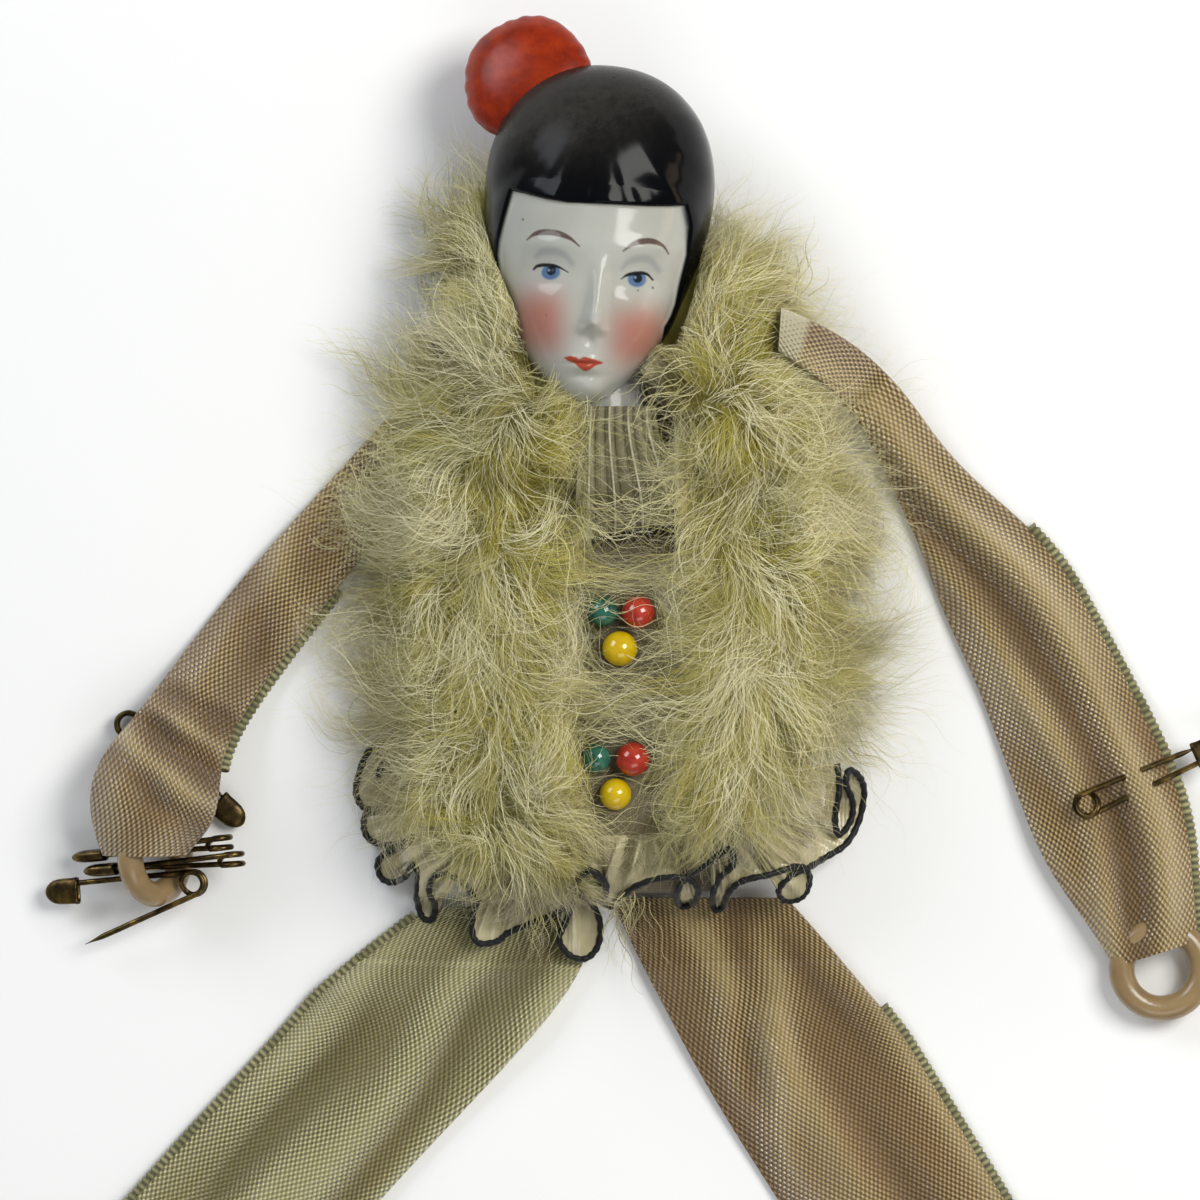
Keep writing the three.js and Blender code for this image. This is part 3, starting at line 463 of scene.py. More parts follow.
brow = np.maximum(
    stroke([(525, 239.5), (533, 233.5), (545, 231.8), (558, 233.5), (570, 238.5), (579, 246)], 6.2, 1.3),
    stroke([(624, 251), (633, 244.5), (644, 241.3), (654, 241.3), (664, 245.5), (671, 254)], 6.0, 1.3),
)
crease = np.maximum(
    stroke([(533, 256), (541, 251.3), (552, 250.8), (563, 254.5), (571, 263)], 8, 6, (0.5, 0.6)),
    stroke([(624, 268), (632, 261), (643, 258.6), (654, 261), (663, 271)], 8, 6, (0.5, 0.6)),
)
lash = np.maximum(
    stroke([(529.5, 268.5), (534, 265.2), (545, 264.3), (556, 266.4), (566.5, 271.8)], 3.7, 1.0, (0.6, 0.3)),
    stroke([(623.5, 278.8), (630, 275), (641, 273), (651, 274.2), (657.5, 280)], 3.7, 1.0, (0.3, 0.6)),
)
iris = np.zeros_like(T)
pupil = np.zeros_like(T)
painted_catchlight = np.zeros_like(T)
for cx, cy, lid in [(547.8, 271.5, 265.2), (640.6, 279.4, 273.4)]:
    below_lid = smooth(row, lid - 0.5, lid + 0.8)
    washed = np.hypot((column - cx) / 11, (row - cy) / 8.4)
    iris = np.maximum(iris, (1 - smooth(washed, 0.78, 1.05)) * below_lid)
    round_it = np.hypot(column - cx - 0.5, row - lid - 4.6)
    pupil = np.maximum(pupil, (1 - smooth(round_it, 4.2, 5.8)) * below_lid)
    # A pale spot high in each iris: a painted highlight.
    painted_catchlight = np.maximum(painted_catchlight, 1 - smooth(np.hypot(column - cx + 2.2, row - cy + 2.0), 0.8, 2.0))
rouge = np.maximum(hill(column, row, 537, 321, 29, 33, 3), hill(column, row, 640, 337, 31, 31, 3))
rouge = rouge * skin
LIPS = [(563, 357.6), (570, 355.8), (575.5, 356.8), (579.3, 359), (583.8, 357), (592, 358.8), (604, 362.8),
        (596, 365.6), (590.5, 369.4), (585, 371), (579.5, 367.8), (574.5, 363.4), (568, 360.8)]
lips = smooth(inside(rounded(LIPS, 4), column, row), -0.8, 0.6)
parting = stroke([(566, 359), (574, 361), (580, 362.4), (590, 362.8), (601, 363)], 1.3, 1.2)
specks = np.zeros_like(T)
for cx, cy, size in [(520, 219, 1.3), (657, 288, 1.5), (641, 290.5, 1.1), (546, 315, 0.9), (700, 262, 1.2)]:
    specks = np.maximum(specks, 1 - smooth(np.hypot(column - cx, row - cy), size * 0.5, size * 1.3))
# A greyer haze on the crown: partly dust where it was handled, partly a painted soft reflection on its left.
crown_dust_and_sheen = hill(column, row, 545, 105, 90, 48) * 0.8 + 0.35 * hill(column, row, 640, 88, 70, 26)
crown_dust_and_sheen = crown_dust_and_sheen * (1 - skin) * facing

# %% [markdown]
# ## Glazed porcelain
# Hard porcelain under a clear feldspar glaze: cold white, a refractive index near 1.5 and a
# mirror-smooth coat. A little light scatters below the surface and softens the shadows. The
# black hair glaze is deep and wet-looking, with a greyer bloom on the crown: partly dust where
# the crown was handled, and partly a painted soft reflection on its left.
# One material holds them all, and the marks that were painted above choose the colour.

# %% Porcelain material
porcelain, tree, shader = finish("glazed_porcelain_painted", {
    "Roughness": 0.14,
    "IOR": 1.5,
    "Subsurface Weight": 0.12,
    "Subsurface Radius": (0.004, 0.003, 0.002),
    "Subsurface Scale": 0.25,
})
place = node(tree, "ShaderNodeTexCoord")
cloudy = node(tree, "ShaderNodeTexNoise", None, {"Vector": place.outputs["Object"], "Scale": 140.0, "Detail": 4.0})
colour = node(tree, "ShaderNodeValToRGB", {"stops": [(0.3, "#aaaba2"), (0.7, "#b5b5ad")]},
              {"Fac": cloudy.outputs["Fac"]}).outputs["Color"]
GLAZES = [
    ("rouge", "#ab6b5b", 0.88),
    ("crease", "#7b8084", 0.42),
    ("iris", "#4c6b93", 0.95),
    ("pupil", "#14161c", 0.95),
    ("lash", "#0c0c0e", 0.97),
    ("brow", "#4a352b", 0.9),
    # the pale spot in each iris is a painted highlight
    ("painted_catchlight", "#cfd8e6", 0.35),
    ("lips", "#a53a20", 0.95),
    ("parting", "#7d1c10", 0.5),
    ("specks", "#4c4640", 0.8),
]
for key, paint, cover in GLAZES:
    mark = node(tree, "ShaderNodeAttribute", {"attribute_name": key})
    amount = node(tree, "ShaderNodeMath", {"operation": "MULTIPLY"}, {0: mark.outputs["Fac"], 1: cover})
    colour = node(tree, "ShaderNodeMix", {"data_type": "RGBA"},
                  {0: amount.outputs[0], 6: colour, 7: linear(paint)}).outputs[2]
dust = node(tree, "ShaderNodeTexNoise", None, {"Vector": place.outputs["Object"], "Scale": 900.0, "Detail": 6.0,
                                               "Roughness": 0.7})
# The grey on the crown is partly dust and partly a painted soft reflection.
crown_dust_and_sheen_mark = node(tree, "ShaderNodeAttribute", {"attribute_name": "crown_dust_and_sheen"})
dust_sheen_and_shade = node(tree, "ShaderNodeMath", {"operation": "MULTIPLY"}, {0: crown_dust_and_sheen_mark.outputs["Fac"], 1: dust.outputs["Fac"]})
black = node(tree, "ShaderNodeMix", {"data_type": "RGBA"},
             {0: dust_sheen_and_shade.outputs[0], 6: linear("#040508"), 7: linear("#4a463f")})
on_skin = node(tree, "ShaderNodeAttribute", {"attribute_name": "skin"})
whole = node(tree, "ShaderNodeMix", {"data_type": "RGBA"},
             {0: on_skin.outputs["Fac"], 6: black.outputs[2], 7: colour})
tree.links.new(whole.outputs[2], shader.inputs["Base Color"])
rough = node(tree, "ShaderNodeMapRange", None, {"Value": dust_sheen_and_shade.outputs[0], "From Min": 0.0, "From Max": 0.5,
                                                "To Min": 0.12, "To Max": 0.45})
tree.links.new(rough.outputs[0], shader.inputs["Roughness"])
gleam = node(tree, "ShaderNodeMapRange", None, {"Value": on_skin.outputs["Fac"], "To Min": 0.11, "To Max": 0.28})
tree.links.new(gleam.outputs[0], shader.inputs["Specular IOR Level"])
ripple = node(tree, "ShaderNodeTexNoise", None, {"Vector": place.outputs["Object"], "Scale": 260.0, "Detail": 2.0})
bump = node(tree, "ShaderNodeBump", None, {"Height": ripple.outputs["Fac"], "Strength": 0.06, "Distance": 0.0004})
tree.links.new(bump.outputs[0], shader.inputs["Normal"])

# %% Head
neck_turns = np.linspace(0, 2 * math.pi, 64, endpoint=False)
neck_profile = [(5.4, 18.25), (5.4, 19.75), (4.7, 20.1), (4.4, 21), (4.4, 30), (3.6, 33)]
neck_points = np.array([[(r * np.cos(a) - 0.5, y, r * np.sin(a) + 9) for a in neck_turns] for r, y in neck_profile])
head_faces = grid_faces(*T.shape, closed=True)
neck_faces = grid_faces(len(neck_profile), len(neck_turns), closed=True) + T.size
marks = {"skin": skin, "rouge": rouge, "crease": crease * skin, "iris": iris, "pupil": pupil, "lash": lash,
         "brow": brow, "painted_catchlight": painted_catchlight, "lips": lips, "parting": parting * lips, "specks": specks, "crown_dust_and_sheen": crown_dust_and_sheen}
marks = {key: np.concatenate([(values * facing if key not in ("skin", "crown_dust_and_sheen") else values).ravel(),
                              np.full(neck_points.shape[0] * neck_points.shape[1], float(key == "skin"))])
         for key, values in marks.items()}
head = piece("painted_head", np.concatenate([head_points.reshape(-1, 3), neck_points.reshape(-1, 3)]),
             np.concatenate([head_faces, neck_faces]), "head", porcelain, marks)
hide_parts("porcelain_head")

# %% [markdown]
# ## The rosette
# The red pompom was pressed as a little scalloped cushion and stuck on before the firing. It
# is a disc with a domed front whose radius waves round the rim. Fine pleats fade towards the
# middle, as in a crimped paper rosette. Its iron-red glaze pools darker in the pleats.

# %% Rosette
ROSETTE_RADIUS = 7.4
ROSETTE_SCALLOPS = 23
ROSETTE_PROFILE = [(0.0, 1.0), (0.2, 0.985), (0.4, 0.93), (0.6, 0.83), (0.76, 0.68), (0.88, 0.49), (0.95, 0.33),
                   (0.99, 0.15), (1.0, 0.0), (0.985, -0.14), (0.93, -0.36), (0.8, -0.62), (0.6, -0.82),
                   (0.3, -0.96), (0.0, -1.0)]
profile = rounded(ROSETTE_PROFILE, 4)
profile[:, 0] = np.clip(profile[:, 0], 0.001, None)
turn = np.linspace(0, 2 * math.pi, 336, endpoint=False)
share, angle = np.meshgrid(profile[:, 0], turn, indexing="ij")
level = np.repeat(profile[:, 1:2], len(turn), 1)
wave = np.cos(ROSETTE_SCALLOPS * angle + 0.5 * np.sin(3 * angle))
crimp = squared(wave, 0.8)
loose = 0.6 + 0.4 * np.sin(4 * angle + 0.8)
radius = ROSETTE_RADIUS * share + 0.06 * crimp * loose * share ** 12 + 0.12 * np.sin(5 * angle + 1) * share ** 3
height = level * np.where(level > 0, 3.4, 2.6)
height = height + 0.07 * crimp * loose * smooth(share, 0.86, 1) * (level > -0.2)
disc = np.stack([radius * np.cos(angle), radius * np.sin(angle), height], -1)
lean = np.array(Matrix.Rotation(math.radians(-14), 3, "Y") @ Matrix.Rotation(math.radians(-12), 3, "X"))
disc = disc @ lean.T + (HEAD_X - 7.7, CHIN_Y + HEAD_HEIGHT - 1.5, 11.4)

red_glaze, tree, shader = finish("iron_red_glaze", {"Roughness": 0.28, "IOR": 1.5, "Specular IOR Level": 0.25})
_, pooled, red = mottled(tree, shader, 330.0, [(0.3, "#6c1803"), (0.5, "#8c2607"), (0.72, "#a4370d")],
                         Detail=8.0, Roughness=0.65)
pleat = node(tree, "ShaderNodeAttribute", {"attribute_name": "pleat"})
deep = node(tree, "ShaderNodeMix", {"data_type": "RGBA"}, {0: pleat.outputs["Fac"], 6: red,
                                                           7: linear("#701402")})
tree.links.new(deep.outputs[2], shader.inputs["Base Color"])
orange_peel = node(tree, "ShaderNodeBump", None, {"Height": pooled, "Strength": 0.15, "Distance": 0.0004})
tree.links.new(orange_peel.outputs[0], shader.inputs["Normal"])
rosette = piece("rosette", disc, grid_faces(*share.shape, closed=True), "head", red_glaze,
                {"pleat": np.clip(-crimp, 0, 1) * smooth(share, 0.8, 1) * 0.5})
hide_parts("pompom")

# %% [markdown]
# ## Round bars and wires
# A wire, a cord and a thread are all a round section carried along a line. A curve object with
# a bevel would do it. A mesh made point by point also lets the radius change on the way, which
# a needle's point and a whipped edge need, so `tube_piece` carries a small circle along it.

# %% Tube tool
def tube_piece(name, path, radius, body, material, sides=12, flat=1.0, marks=None):
    """An open-ended tube along a line. radius may differ at each point, and flat squashes it."""
    path = np.asarray(path, float)
    radius = np.broadcast_to(np.asarray(radius, float), (len(path),))
    ahead = np.gradient(path, axis=0)
    ahead /= np.linalg.norm(ahead, axis=1, keepdims=True)
    across = np.cross(ahead[0], (0.3, 0.2, 1))
    turns = np.arange(sides) * 2 * math.pi / sides
    rings = []
    for spot, direction, r in zip(path, ahead, radius):
        across = across - direction * across.dot(direction)
        across /= np.linalg.norm(across)
        up = np.cross(direction, across)
        rings.append(spot + r * (np.outer(np.cos(turns), across) + flat * np.outer(np.sin(turns), up)))
    return piece(name, np.concatenate(rings), grid_faces(len(path), sides, closed=True), body, material, marks)


# %% [markdown]
# ## Glass beads
# The six beads are drawn glass rounds, rolled smooth while hot. Their bores lie sideways, as
# threaded beads turn when they are sewn flat. Green glass is clear enough to look dark, and
# red and yellow are opaque. All have the sharp highlight of a refractive index of 1.52.

# %% Beads
GLASS = {
    "green": ("#1c5543", "#3a7c66", 0.15),
    "red": ("#9a2416", "#b53a26", 0.0),
    "yellow": ("#c7a400", "#d8b80c", 0.0),
}
glass = {}
for name, (dark, light, clear) in GLASS.items():
    made, tree, shader = finish(f"{name}_drawn_glass", {"Roughness": 0.06, "IOR": 1.52, "Coat Weight": 0.4,
                                                        "Transmission Weight": clear})
    mottled(tree, shader, 420.0, [(0.35, dark), (0.65, light)], Distortion=1.5)
    glass[name] = made

BORE = 0.4
for level in ("upper", "lower"):
    for name in GLASS:
        solid = f"bead_{level}_{name}"
        low, high = [np.array(corner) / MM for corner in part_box(solid)]
        radius = (high[2] - low[2]) / 2
        start = math.asin(BORE / radius)
        B, C = np.meshgrid(np.linspace(start, math.pi - start, 40),
                           np.linspace(0, 2 * math.pi, 56, endpoint=False), indexing="ij")
        wall = np.stack([-radius * np.cos(B), radius * np.sin(B) * np.cos(C), radius * np.sin(B) * np.sin(C)], -1)
        wall *= 1 + 0.012 * np.sin(2 * C + radius * 5)[..., None] * np.sin(B)[..., None]
        ball = np.concatenate([wall, wall[[-1, 0]]]) + (low + high) / 2
        bead = piece(f"glass_{solid}", ball, grid_faces(42, 56, closed=True), "torso", glass[name])
        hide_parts(solid)

# %% [markdown]
# ## Celluloid rings
# The hands and feet end in cream rings that were turned from celluloid. The stuff is a little
# see-through, so light softens inside it, and it yellows and gets fine scratches with age.

# %% Rings
celluloid, tree, shader = finish("aged_celluloid", {
    "Roughness": 0.28,
    "IOR": 1.5,
    "Subsurface Weight": 0.35,
    "Subsurface Radius": (0.006, 0.004, 0.002),
    "Subsurface Scale": 0.3,
    "Coat Weight": 0.25,
    "Coat Roughness": 0.12,
})
place, _, _ = mottled(tree, shader, 160.0, [(0.3, "#806a48"), (0.5, "#947c56"), (0.72, "#a58d66")], Detail=5.0)
scratch = node(tree, "ShaderNodeTexNoise", None, {"Vector": place, "Scale": 2400.0, "Detail": 3.0})
worn = node(tree, "ShaderNodeBump", None, {"Height": scratch.outputs["Fac"], "Strength": 0.12, "Distance": 0.0002})
tree.links.new(worn.outputs[0], shader.inputs["Normal"])

RING_RADIUS = 4.6
RING_SECTION = 1.5
RING_STEPS, SECTION_STEPS = 120, 32
joints = {joint["name"]: joint for joint in frame["record"]["behaviour"]["joints"]}
for limb in ("arm_left", "arm_right", "leg_left", "leg_right"):
    joint = joints[f"ring_{limb}_spin"]
    centre = np.array(joint["pos_m"]) / MM
    axis = np.array(joint["axis"], float)
    first = np.cross(axis, (0, 1, 0))
    first /= np.linalg.norm(first)
    second = np.cross(axis, first)
    big, small = np.meshgrid(np.linspace(0, 2 * math.pi, RING_STEPS, endpoint=False),
                             np.linspace(0, 2 * math.pi, SECTION_STEPS, endpoint=False), indexing="ij")
    section = RING_SECTION * (0.985 + 0.015 * np.cos(3 * big))
    reach = RING_RADIUS + section * np.cos(small)
    spots = (centre + (reach * np.cos(big))[..., None] * first + (reach * np.sin(big))[..., None] * second
             + (section * np.sin(small))[..., None] * axis)
    faces = grid_faces(RING_STEPS + 1, SECTION_STEPS, closed=True) % (RING_STEPS * SECTION_STEPS)
    ring = piece(f"celluloid_ring_{limb}", spots, faces, f"ring_{limb}", celluloid)
    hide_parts(f"ring_{limb}")

# %% [markdown]
# ## Safety pins
# A safety pin is one length of brass wire: a straight back, one and a half turns of coil that
# act as the spring, and an arm that is ground to a point. A folded sheet cap takes the point.
# The bronzed finish has turned dark and olive, and bare brass shows where hands rubbed it.

# %% Pin material
bronze, tree, shader = finish("bronzed_brass_wire", {"Metallic": 1.0, "Roughness": 0.3})
_, patina, _ = mottled(tree, shader, 700.0, [(0.32, "#2c2417"), (0.52, "#57482c"), (0.72, "#94783f")], Detail=6.0)
dull = node(tree, "ShaderNodeMapRange", None, {"Value": patina, "From Min": 0.3, "From Max": 0.7,
                                               "To Min": 0.42, "To Max": 0.22})
tree.links.new(dull.outputs[0], shader.inputs["Roughness"])

# %% Pins
WIRE = 0.33
COIL_RADIUS = 1.32
COIL_RISE = 2 * WIRE + 0.46
PIN_REACH = 17.6
CAP_LENGTH = 4
CAP_SPREAD = 0.8
CAP_HALF_WIDTH = CAP_SPREAD + WIRE + 0.4
CAP_HALF_DEPTH = WIRE + 0.4


def heading(turn, fall):
    """The direction in which a pin's arm points: its turn on the table and its fall toward it."""
    a, f = math.radians(turn), math.radians(fall)
    return np.array([math.cos(a) * math.cos(f), math.sin(a) * math.cos(f), -math.sin(f)])


back_wire = np.linspace((PIN_REACH - CAP_LENGTH / 2, -CAP_SPREAD, 0), (0, -COIL_RADIUS, -COIL_RISE / 2), 24)[:-1]
COIL_TURN = 540
swept = np.linspace(0, COIL_TURN, 100)
spin = np.radians(-90 - swept)
coil = np.stack([COIL_RADIUS * np.cos(spin), COIL_RADIUS * np.sin(spin),
                 COIL_RISE * (smooth(swept, 210, 330) - 0.5)], -1)
wire_line = np.concatenate([back_wire, coil])
arm_share = np.linspace(0, 1, 40)
arm_line = mix(np.array([0, COIL_RADIUS, COIL_RISE / 2]), np.array([PIN_REACH - CAP_LENGTH + 1, CAP_SPREAD, 0]),
               arm_share[:, None])
arm_radius = WIRE * mix(1, 0.12, smooth(arm_share, 0.82, 1))

cap_stations = [(1.0, 0.78), (0.35, 0.8), (0.0, 0.88), (-0.02, 1.0), (0.25, 1.03), (0.6, 0.99), (1.6, 0.98),
                (2.4, 0.95), (2.9, 0.86), (3.3, 0.72), (3.65, 0.5), (3.88, 0.25), (3.97, 0.02)]
CAP_STEPS = 40
cap_turns = np.linspace(0, 2 * math.pi, CAP_STEPS, endpoint=False)
cap_form = np.stack([np.stack([np.full(CAP_STEPS, PIN_REACH - CAP_LENGTH + reach),
                               CAP_HALF_WIDTH * size * squared(np.cos(cap_turns), 0.8),
                               CAP_HALF_DEPTH * min(size * 1.04, 1) * squared(np.sin(cap_turns), 0.65)], -1)
                     for reach, size in cap_stations])

PINS = [
    ("pin_1", "arm_left", heading(186, 11), False),
    ("pin_2", "arm_left", heading(185, 11), False),
    ("pin_3", "arm_left", heading(184, 11), True),
    ("pin_4", "arm_left", heading(-41, 0), False),
    ("pin_5", "arm_right", heading(24, 0), False),
]
PIN_OPENING = math.radians(22)
for name, body, x_axis, is_open in PINS:
    joint = joints[f"{name}_open"]
    z_axis = np.array(joint["axis"], float)
    z_axis -= x_axis * z_axis.dot(x_axis)
    z_axis /= np.linalg.norm(z_axis)
    turn = np.stack([x_axis, np.cross(z_axis, x_axis), z_axis])
    centre = np.array(joint["pos_m"]) / MM
    arm = arm_line
    if is_open:
        c, s = math.cos(PIN_OPENING), math.sin(PIN_OPENING)
        arm = arm @ np.array([[c, s, 0], [-s, c, 0], [0, 0, 1]])
    wire = tube_piece(f"{name}_back_and_coil", wire_line @ turn + centre, WIRE, body, bronze, 14)
    point = tube_piece(f"{name}_pointed_arm", arm @ turn + centre, arm_radius, f"{name}_arm", bronze, 14)
    cap = piece(f"{name}_folded_cap", cap_form @ turn + centre, grid_faces(len(cap_stations), CAP_STEPS, closed=True),
                body, bronze)
    for obj, solid in ((wire, f"{name}_wire"), (point, f"{name}_arm"), (cap, f"{name}_cap")):
        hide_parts(solid)

# %% [markdown]
# ## Woven ribbon
# The limbs are rayon ribbon with a dotted face: each thread that passes over the others shows
# as a small bright dash, half a millimetre from its neighbours, and the rows are staggered.
# Modelling each thread would take millions of faces, so the dashes are a bump that reads the
# cloth's own measure in millimetres, along and across, and so bends with every fold. Their
# colour is painted as well: a painted highlight on each dash and painted shade between them,
# and the fold valleys painted darker and the ridges lighter.

# %% Ribbon materials
THREAD_PITCH = 0.6
ROW_PITCH = 0.45


def ribbon_material(name, deep, middle, bright, second, second_share):
    """Woven ribbon in one colour with a second that shows in patches, as in shot weaving. The
    weave's floats are painted bright and its pits dark. The fold valleys are painted darker and
    more in the second colour, and the ridges lighter: painted shade and highlight.
    """
    made, tree, shader = finish(name, {"Roughness": 0.27, "Sheen Weight": 0.3, "Sheen Roughness": 0.4,
                                       "Specular IOR Level": 0.95})
    across = node(tree, "ShaderNodeAttribute", {"attribute_name": "cloth_across"})
    along_it = node(tree, "ShaderNodeAttribute", {"attribute_name": "cloth_along"})
    place = node(tree, "ShaderNodeTexCoord")
    waver = node(tree, "ShaderNodeTexNoise", None, {"Vector": place.outputs["Object"], "Scale": 90.0, "Detail": 2.0})
    drift = node(tree, "ShaderNodeMath", {"operation": "MULTIPLY_ADD"}, {0: waver.outputs["Fac"], 1: 0.5,
                                                                        2: along_it.outputs["Fac"]})
    u = node(tree, "ShaderNodeMath", {"operation": "MULTIPLY"}, {0: across.outputs["Fac"],
                                                                 1: 2 * math.pi / THREAD_PITCH})
    v = node(tree, "ShaderNodeMath", {"operation": "MULTIPLY"}, {0: drift.outputs[0], 1: math.pi / ROW_PITCH})
    cos_u = node(tree, "ShaderNodeMath", {"operation": "COSINE"}, {0: u.outputs[0]})
    cos_v = node(tree, "ShaderNodeMath", {"operation": "COSINE"}, {0: v.outputs[0]})
    weave = node(tree, "ShaderNodeMath", {"operation": "MULTIPLY"}, {0: cos_u.outputs[0], 1: cos_v.outputs[0]})
    patch = node(tree, "ShaderNodeTexNoise", None, {"Vector": place.outputs["Object"], "Scale": 45.0, "Detail": 3.0})
    # The dotted weave is the cloth's own. Its colour ramp paints each raised float bright and each pit dark: painted
    # highlight and shade.
    threads = node(tree, "ShaderNodeMapRange", None, {"Value": weave.outputs[0], "From Min": -1.0, "From Max": 1.0})
    base = node(tree, "ShaderNodeValToRGB", {"stops": [(0.15, deep), (0.5, middle), (0.85, bright)]},
                {"Fac": threads.outputs[0]})
    raw = node(tree, "ShaderNodeAttribute", {"attribute_name": "cloth_raw"})
    fold = node(tree, "ShaderNodeAttribute", {"attribute_name": "cloth_fold"})
    # The second colour shows in random patches and also, as painted shade, in the fold valleys.
    valley = node(tree, "ShaderNodeMath", {"operation": "MULTIPLY_ADD"}, {0: fold.outputs["Fac"], 1: -0.16,
                                                                         2: patch.outputs["Fac"]})
    shot_and_valley_shade = node(tree, "ShaderNodeMapRange", None, {"Value": valley.outputs[0], "From Min": 0.4, "From Max": 0.68,
                                                   "To Min": 0.0, "To Max": second_share})
    mixed = node(tree, "ShaderNodeMix", {"data_type": "RGBA"}, {0: shot_and_valley_shade.outputs[0], 6: base.outputs["Color"],
                                                                7: linear(second)})
    # Fold valleys turn toward the deep colour: painted shade.
    valley_shade = node(tree, "ShaderNodeMapRange", None, {"Value": fold.outputs["Fac"], "From Min": 0.2, "From Max": -1.8,
                                                   "To Min": 0.0, "To Max": 0.5})
    dust_sheen_and_shade = node(tree, "ShaderNodeMix", {"data_type": "RGBA"}, {0: valley_shade.outputs[0], 6: mixed.outputs[2],
                                                                7: linear(deep)})
    # Fold ridges turn toward the bright colour: a painted highlight.
    ridge_highlight = node(tree, "ShaderNodeMapRange", None, {"Value": fold.outputs["Fac"], "From Min": 0.3, "From Max": 2.0,
                                                    "To Min": 0.0, "To Max": 0.35})
    ridge_lit = node(tree, "ShaderNodeMix", {"data_type": "RGBA"}, {0: ridge_highlight.outputs[0], 6: dust_sheen_and_shade.outputs[2],
                                                                 7: linear(bright)})
    frayed = node(tree, "ShaderNodeMix", {"data_type": "RGBA"}, {0: raw.outputs["Fac"], 6: ridge_lit.outputs[2],
                                                                 7: linear("#c4bb98")})
    tree.links.new(frayed.outputs[2], shader.inputs["Base Color"])
    raised = node(tree, "ShaderNodeBump", None, {"Height": weave.outputs[0], "Strength": 1.0, "Distance": 0.00018})
    tree.links.new(raised.outputs[0], shader.inputs["Normal"])
    return made


# deep is also the painted shade in fold valleys and pits, and bright the painted highlight on ridges and floats.
tan_ribbon = ribbon_material("tan_rayon_ribbon", "#49361a", "#8b6e3b", "#d8c188", "#855d34", 0.4)
green_ribbon = ribbon_material("green_shot_rayon_ribbon", "#56532d", "#938d58", "#ded7a2", "#8d7946", 0.55)

picot, tree, shader = finish("woven_picot_edge", {"Roughness": 0.55, "Sheen Weight": 0.2})
place, _, olive = mottled(tree, shader, 260.0, [(0.35, "#757146"), (0.65, "#a39d72")], Detail=3.0)
# The narrow stretches between the loops are painted dark olive: painted shade between the loops.
loop_mark = node(tree, "ShaderNodeAttribute", {"attribute_name": "picot_loop"})
loop_shade_mix = node(tree, "ShaderNodeMix", {"data_type": "RGBA"}, {0: loop_mark.outputs["Fac"], 6: linear("#4b4a2e"),
                                                              7: olive})
tree.links.new(loop_shade_mix.outputs[2], shader.inputs["Base Color"])
fibre = node(tree, "ShaderNodeTexNoise", None, {"Vector": place, "Scale": 5000.0})
grain = node(tree, "ShaderNodeBump", None, {"Height": fibre.outputs["Fac"], "Strength": 0.4, "Distance": 0.0001})
tree.links.new(grain.outputs[0], shader.inputs["Normal"])

# %% [markdown]
# ## Arms and legs
# Each limb is a ribbon folded lengthwise, with the fold on one side and both woven edges on
# the other. It is sewn under the collar or the hem, lies on the table, and is caught round
# its ring. The grid runs once round the folded ribbon for every step along the limb. Pins
# puff out the left wrist.

# %% Limb measures
GAP = 0.3
BODY_BOTTOM = -28.6475
HEM_REACH = 7.3
SWING = 22
hip_y = BODY_BOTTOM - HEM_REACH - 2 * GAP
seam_y = BODY_BOTTOM - 1.1
FLAT_SEAT = [(0, GAP), (1, GAP)]
LEG = dict(row=0, late=1, length=78, crown=[(0, 2), (0.45, 3), (0.78, 3.2), (1, 4.8)], seat=FLAT_SEAT,
           root_row=0, rise=0)
# hinge and root are places, row and turn are angles of the cloth and of its course, and half,
# crown and seat give half width, thickness and height off the table from the hinge to the cuff
LIMBS = {
    "arm_left": dict(hinge=(-28.4, 17.6), row=-40, turn=(-40, 0), late=3.5, length=49,
                     half=[(0, 4.2), (0.3, 4.7), (0.58, 4.9), (0.7, 5.4), (0.85, 7.8), (0.95, 6.6), (1, 4.8)],
                     crown=[(0, 1.2), (0.4, 3.4), (0.7, 5.4), (0.86, 10.2), (1, 9.4)],
                     seat=[(0, GAP), (0.45, GAP), (0.78, 2.2), (1, 1.6)], root=(-20.9, 26.6), root_half=3.6,
                     root_row=-40, rise=3.5, edge=1, cloth=tan_ribbon, picot=(10, 36)),
    "arm_right": dict(hinge=(33.4, 28.4), row=32, turn=(32, 18), late=1, length=70,
                      half=[(0, 3), (0.14, 3.9), (0.36, 7.5), (0.78, 8.9), (1, 5.2)],
                      crown=[(0, 2.2), (0.45, 3.4), (0.78, 3.6), (1, 4.8)], seat=FLAT_SEAT,
                      root=(19.2, 36.4), root_half=2.5, root_row=86, rise=2.4, edge=1, cloth=tan_ribbon,
                      bow=-2.6, root_bow=(1.0, 2.0), over=12, picot=(20, 70)),
    "leg_left": dict(LEG, hinge=(-16, hip_y), turn=(-42.6, -42.6), root=(-11.6, seam_y), root_half=9.4,
                     half=[(0, 10.4), (0.45, 10.6), (0.78, 10.2), (1, 5.4)], edge=-1, cloth=green_ribbon,
                     picot=(-7, 76)),
    "leg_right": dict(LEG, hinge=(15.6, hip_y), turn=(32.2, 32.2), root=(10.2, seam_y + 1.1), root_half=10.2,
                      half=[(0, 10.1), (0.2, 11.2), (0.78, 10.9), (1, 5.4)], edge=1, cloth=tan_ribbon,
                      picot=(8, 76)),
}


def along(stations, t):
    """A value along a limb that eases from each of its stations to the next."""
    total = np.full(t.shape, float(stations[0][1]))
    for (start, first), (end, second) in zip(stations, stations[1:]):
        total += (second - first) * smooth(t, start, end)
    return total


